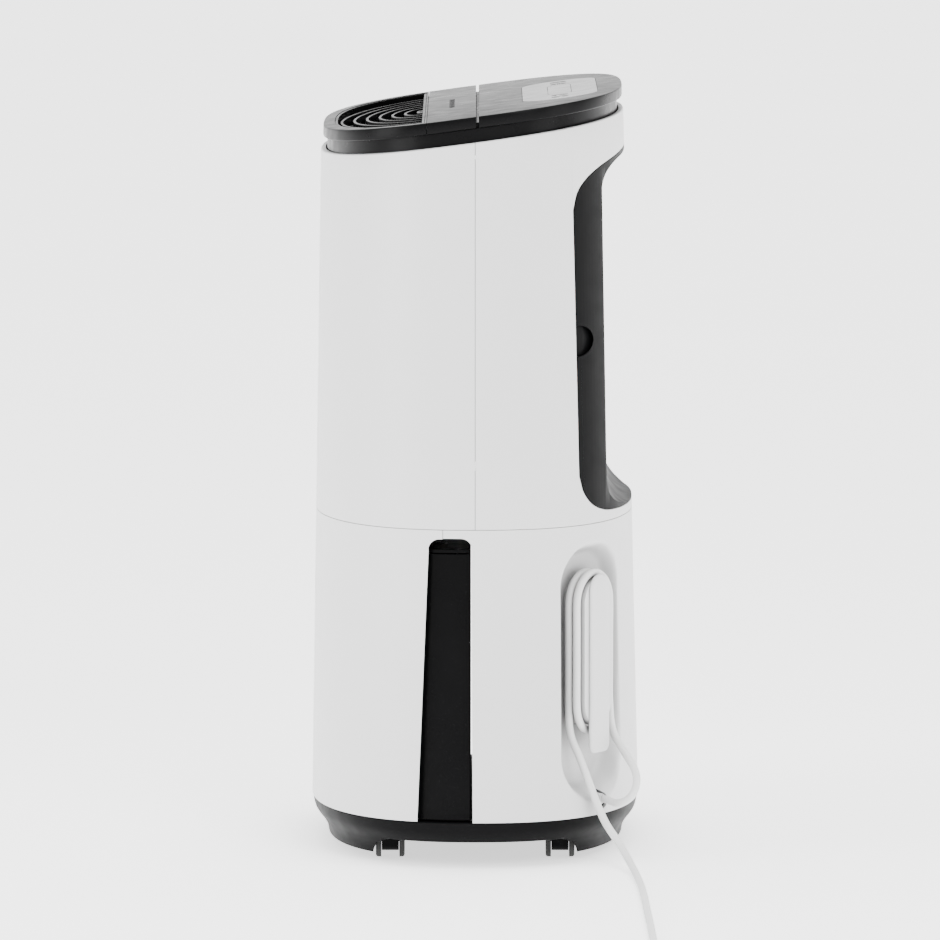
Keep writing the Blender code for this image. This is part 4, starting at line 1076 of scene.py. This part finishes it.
def wound_turns():
    """The turns on the hook: up the right leg in the outer layer, then once more in the inner one."""
    straight, radius, middle = WIND_STRAIGHT / 2, WIND_RADIUS, WINDINGS_Z
    outer, inner = -3.6, -10.6
    points = []

    def bend(top, layer_start, layer_end):
        for i in range(1, 12):
            share = i / 12
            angle = math.pi * share if top else -math.pi * (1 - share)
            centre = middle + (straight if top else -straight)
            layer = layer_start + (layer_end - layer_start) * (1 - math.cos(math.pi * share)) / 2
            points.append((radius * math.cos(angle), layer, centre + radius * math.sin(angle)))

    def leg(side, layer):
        for share in (-1, -0.4, 0.4, 1):
            points.append((side * radius, layer, middle + side * share * straight))

    for layer in (outer, inner):
        leg(1, layer)
        bend(True, layer, layer)
        leg(-1, layer)
        if layer == outer:
            bend(False, outer, inner)
    return points


def coiled_turns():
    """2.25 turns, clockwise from above: two side by side on the floor, then one on top of them."""
    points = []
    count = 24
    for i in range(int(2.25 * count) + 1):
        turn = i / count
        radius = 36 - 6 * eased(turn, 0.8, 1.0) + 3 * eased(turn, 1.62, 1.85)
        height = 3.1 + 6.1 * eased(turn, 1.42, 1.68)
        angle = math.pi / 2 - math.tau * turn
        spot = Vector((radius * math.cos(angle), radius * math.sin(angle), height))
        points.append(COIL_CENTRE + spot)
    return points


def eased(value, start, end):
    share = max(0.0, min(1.0, (value - start) / (end - start)))
    return share * share * (3 - 2 * share)


def cord_line():
    route = [in_recess(*point) for point in EXIT_ROUTE + wound_turns() + LEAD_ROUTE]
    route += [Vector((x, y, z - LIFT / MM)) * MM for x, y, z in FLOOR_ROUTE]
    route += [point * MM for point in coiled_turns()]
    route += [(COIL_CENTRE + Vector(point)) * MM for point in TAIL_ROUTE]
    return [point + Vector((0, 0, LIFT)) for point in smooth_line(route, 3 * MM)]


def curve_tube(name, line, diameter):
    curve = bpy.data.curves.new(name, "CURVE")
    curve.dimensions = "3D"
    curve.bevel_depth = diameter / 2
    curve.bevel_resolution = 6
    curve.use_fill_caps = True
    spline = curve.splines.new("POLY")
    spline.points.add(len(line) - 1)
    for spot, point in zip(spline.points, line):
        spot.co = (*point, 1)
    curve.materials.append(LOOKS["cord_white"])
    return add_object(name, curve)


def cord():
    line = cord_line()
    lead = curve_tube("mains_lead", line, CORD)
    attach(lead, "housing")
    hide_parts("cord_exit_loop", "cord_windings", "cord_lead", "cord_coil", "cord_tail")
    plug()
    cable_gland()
    coil_tie()


def cable_gland():
    """The strain relief: a tapered sleeve with flexing grooves round its outer half."""
    profile = [(0.0, -19.6), (5.4, -19.6), (5.4, -12)]
    ribs = 5
    for i in range(ribs):
        start = -11.5 + i * 2.9
        radius = 5.3 - 0.28 * i
        profile += [(radius, start), (radius - 0.1, start + 1.7), (radius - 0.8, start + 1.95)]
        profile += [(radius - 0.8, start + 2.65)]
    profile += [(3.7, 2.6), (3.4, 3.0), (0.0, 3.0)]
    centre = in_recess(EXIT_ALONG, 0, EXIT_Z)
    gland = turned("cable_gland", profile, centre, RECESS_OUT, 48)
    return dress(gland, "cord_white", "housing", "strain_relief", edge=0)


def coil_tie():
    """A soft strap round the coil's turns, on the side away from the plug."""
    middle = COIL_CENTRE + Vector((-33, 0, 6.6))
    section = rounded_box(19.5, 12.1, 5.6)
    outer = rounded_box(20.7, 13.1, 6.2)
    place = lambda u, v, w: (middle + Vector((u, w, v))) * MM
    strap = extruded("coil_tie", outer, place, -5, 5)
    cut(tidy(strap), extruded("tie_inside", section, place, -8, 8))
    return dress(strap, "black_plastic", "housing", edge=0.25)


def plug():
    """A generic two-pin plug with a grip waist and a ribbed boot."""
    axis = (COIL_CENTRE + Vector((33, 0, 9))) * MM
    stations = [(54.0, 24.4, 15.4), (54.5, 25.6, 16.6), (56, 26, 17), (63, 25.2, 16.2), (70, 22.6, 14.6)]
    stations += [(77, 24.6, 15.8), (83, 26, 17), (86.6, 26, 17), (87.7, 25.4, 16.4), (88, 24, 15)]
    rings = []
    for along, wide, tall in stations:
        outline = rounded_box(wide, tall, 6, 12)
        rings.append([axis + Vector((u, -along, v)) * MM for u, v in outline])
    body = tidy(skin("power_plug", rings))
    parts = []
    boot = [(0, 54.2), (6.2, 54.2)]
    for i in range(4):
        start, radius = 52.6 - i * 2.9, 5.9 - 0.55 * i
        boot += [(radius, start), (radius - 0.2, start - 1.5), (radius - 0.9, start - 1.8)]
        boot += [(radius - 0.9, start - 2.5)]
    boot += [(3.4, 41), (0, 41)]
    parts.append(turned("boot", [(r, -along) for r, along in boot], axis, ALONG_Y, 48))
    for side in (-1, 1):
        centre = axis + Vector((side * 9.5, -95.5, 0)) * MM
        parts.append(rod("pin", centre, 2, 18.5, ALONG_Y, 32))
    merged(body, *parts)
    return dress(body, "cord_white", "housing", "plug", edge=0.3)


HOOK_RADIUS = 18.8


def hook():
    """The hook that the cord is wound on: a core and a retainer plate with soft edges."""
    core = extruded(
        "wind_hook",
        [(v, -u) for u, v in stadium(WIND_STRAIGHT + 2 * HOOK_RADIUS, 2 * HOOK_RADIUS)],
        lambda t, z, n: in_recess(t, n, WINDINGS_Z + z),
        -18.7,
        1.2,
    )
    top, foot, half, corner = 219.5, 80.5, 13, 6
    outline = arc((0, top - half), half, 0, 180, 40)
    outline += arc((-half + corner, foot + corner), corner, 180, 270, 16)
    outline += arc((half - corner, foot + corner), corner, 270, 360, 16)
    rings = []
    for inset, drop in [(2.2, 3.4), (0.6, 3.2), (0, 2.4), (0, 1.5), (0.3, 0.9), (0.9, 0.3), (1.8, 0)]:
        rings.append([in_recess(*shrunk(t, z, inset, half, top, foot, 3.9 - drop)) for t, z in outline])
    plate = tidy(skin("retainer_plate", rings))
    join(tidy(core), plate)
    dress(core, "casing_white", "housing", "cord_hook", edge=0)


def shrunk(t, z, inset, half, top, foot, n):
    """A point of the plate's outline moved inwards, and out to n."""
    middle = (top + foot) / 2
    return t * (1 - inset / half), n, middle + (z - middle) * (1 - 2 * inset / (top - foot))


# ---- Stage
def pale_floor():
    shape = bmesh.new()
    bmesh.ops.create_grid(shape, x_segments=1, y_segments=1, size=40)
    floor = from_bmesh("floor", shape)
    tree, shader, place = shader_nodes("pale_floor")
    tone = shade(tree, remap(tree, noise(tree, place, 1.5, 2), 0, 1), (0.95, 0.95, 0.95), 0.01)
    tree.links.new(tone, shader.inputs["Base Color"])
    shader.inputs["Emission Color"].default_value = (1, 1, 1, 1)
    shader.inputs["Emission Strength"].default_value = 1.3
    shader.inputs["Roughness"].default_value = 0.9
    shader.inputs["Specular IOR Level"].default_value = 0.0
    floor.data.materials.append(LOOKS["pale_floor"])


def soft_sky():
    world = bpy.data.worlds.new("studio")
    bpy.context.scene.world = world
    world.use_nodes = True
    tree = world.node_tree
    background = tree.nodes["Background"]
    direction = tree.nodes.new("ShaderNodeTexCoord")
    split = tree.nodes.new("ShaderNodeSeparateXYZ")
    tree.links.new(direction.outputs["Generated"], split.inputs["Vector"])
    brightness = remap(tree, split.outputs["X"], 2.1, 0.12, -0.95, 0.6)
    tree.links.new(brightness, background.inputs["Strength"])
    background.inputs["Color"].default_value = (1, 1, 1, 1)


LIGHTS_AIM = Vector((0, 0, 0.35))


def softbox(name, place, size, watts):
    light = bpy.data.lights.new(name, "AREA")
    light.shape = "RECTANGLE"
    light.size, light.size_y = size
    light.energy = watts
    thing = add_object(name, light)
    thing.location = place
    thing.rotation_euler = (LIGHTS_AIM - Vector(place)).to_track_quat("-Z", "Y").to_euler()


def studio():
    pale_floor()
    soft_sky()
    softbox("left_box", (1.3, -2.6, 1.2), (1.6, 2.2), 86)
    softbox("front_box", (2.6, 1.15, 1.8), (1.3, 1.3), 58)
    softbox("right_box", (1.2, 2.6, 1.2), (1.6, 2.2), 34)
    overhead = bpy.data.lights.new("overhead", "SUN")
    overhead.energy = 4.2
    overhead.angle = math.radians(70)
    add_object("overhead", overhead)


CAMERA_PLACE = (7.00167, 0.00026, 1.04449)
CAMERA_PITCH, CAMERA_YAW, CAMERA_LENS = -0.10748, 0.00062, 341.97


def camera():
    data = bpy.data.cameras.new("camera")
    data.lens = CAMERA_LENS
    data.sensor_width = 36
    data.clip_end = 100
    thing = add_object("camera", data)
    thing.location = CAMERA_PLACE
    thing.rotation_euler = (math.pi / 2 + CAMERA_PITCH, 0, math.pi / 2 + CAMERA_YAW)
    bpy.context.scene.camera = thing


camera()
studio()
carried_over()
cord()
front_casing()
rear_casing()
intake()
lower_rear_casing()
band_over_channel()
tank_front()
tank()
base()
casters()
collar()
deck()
handle()
grille()
controls()
hook()
fin_stack("evaporator", "cold_coil")
fin_stack("condenser", "warm_coil")
fan_wheel()
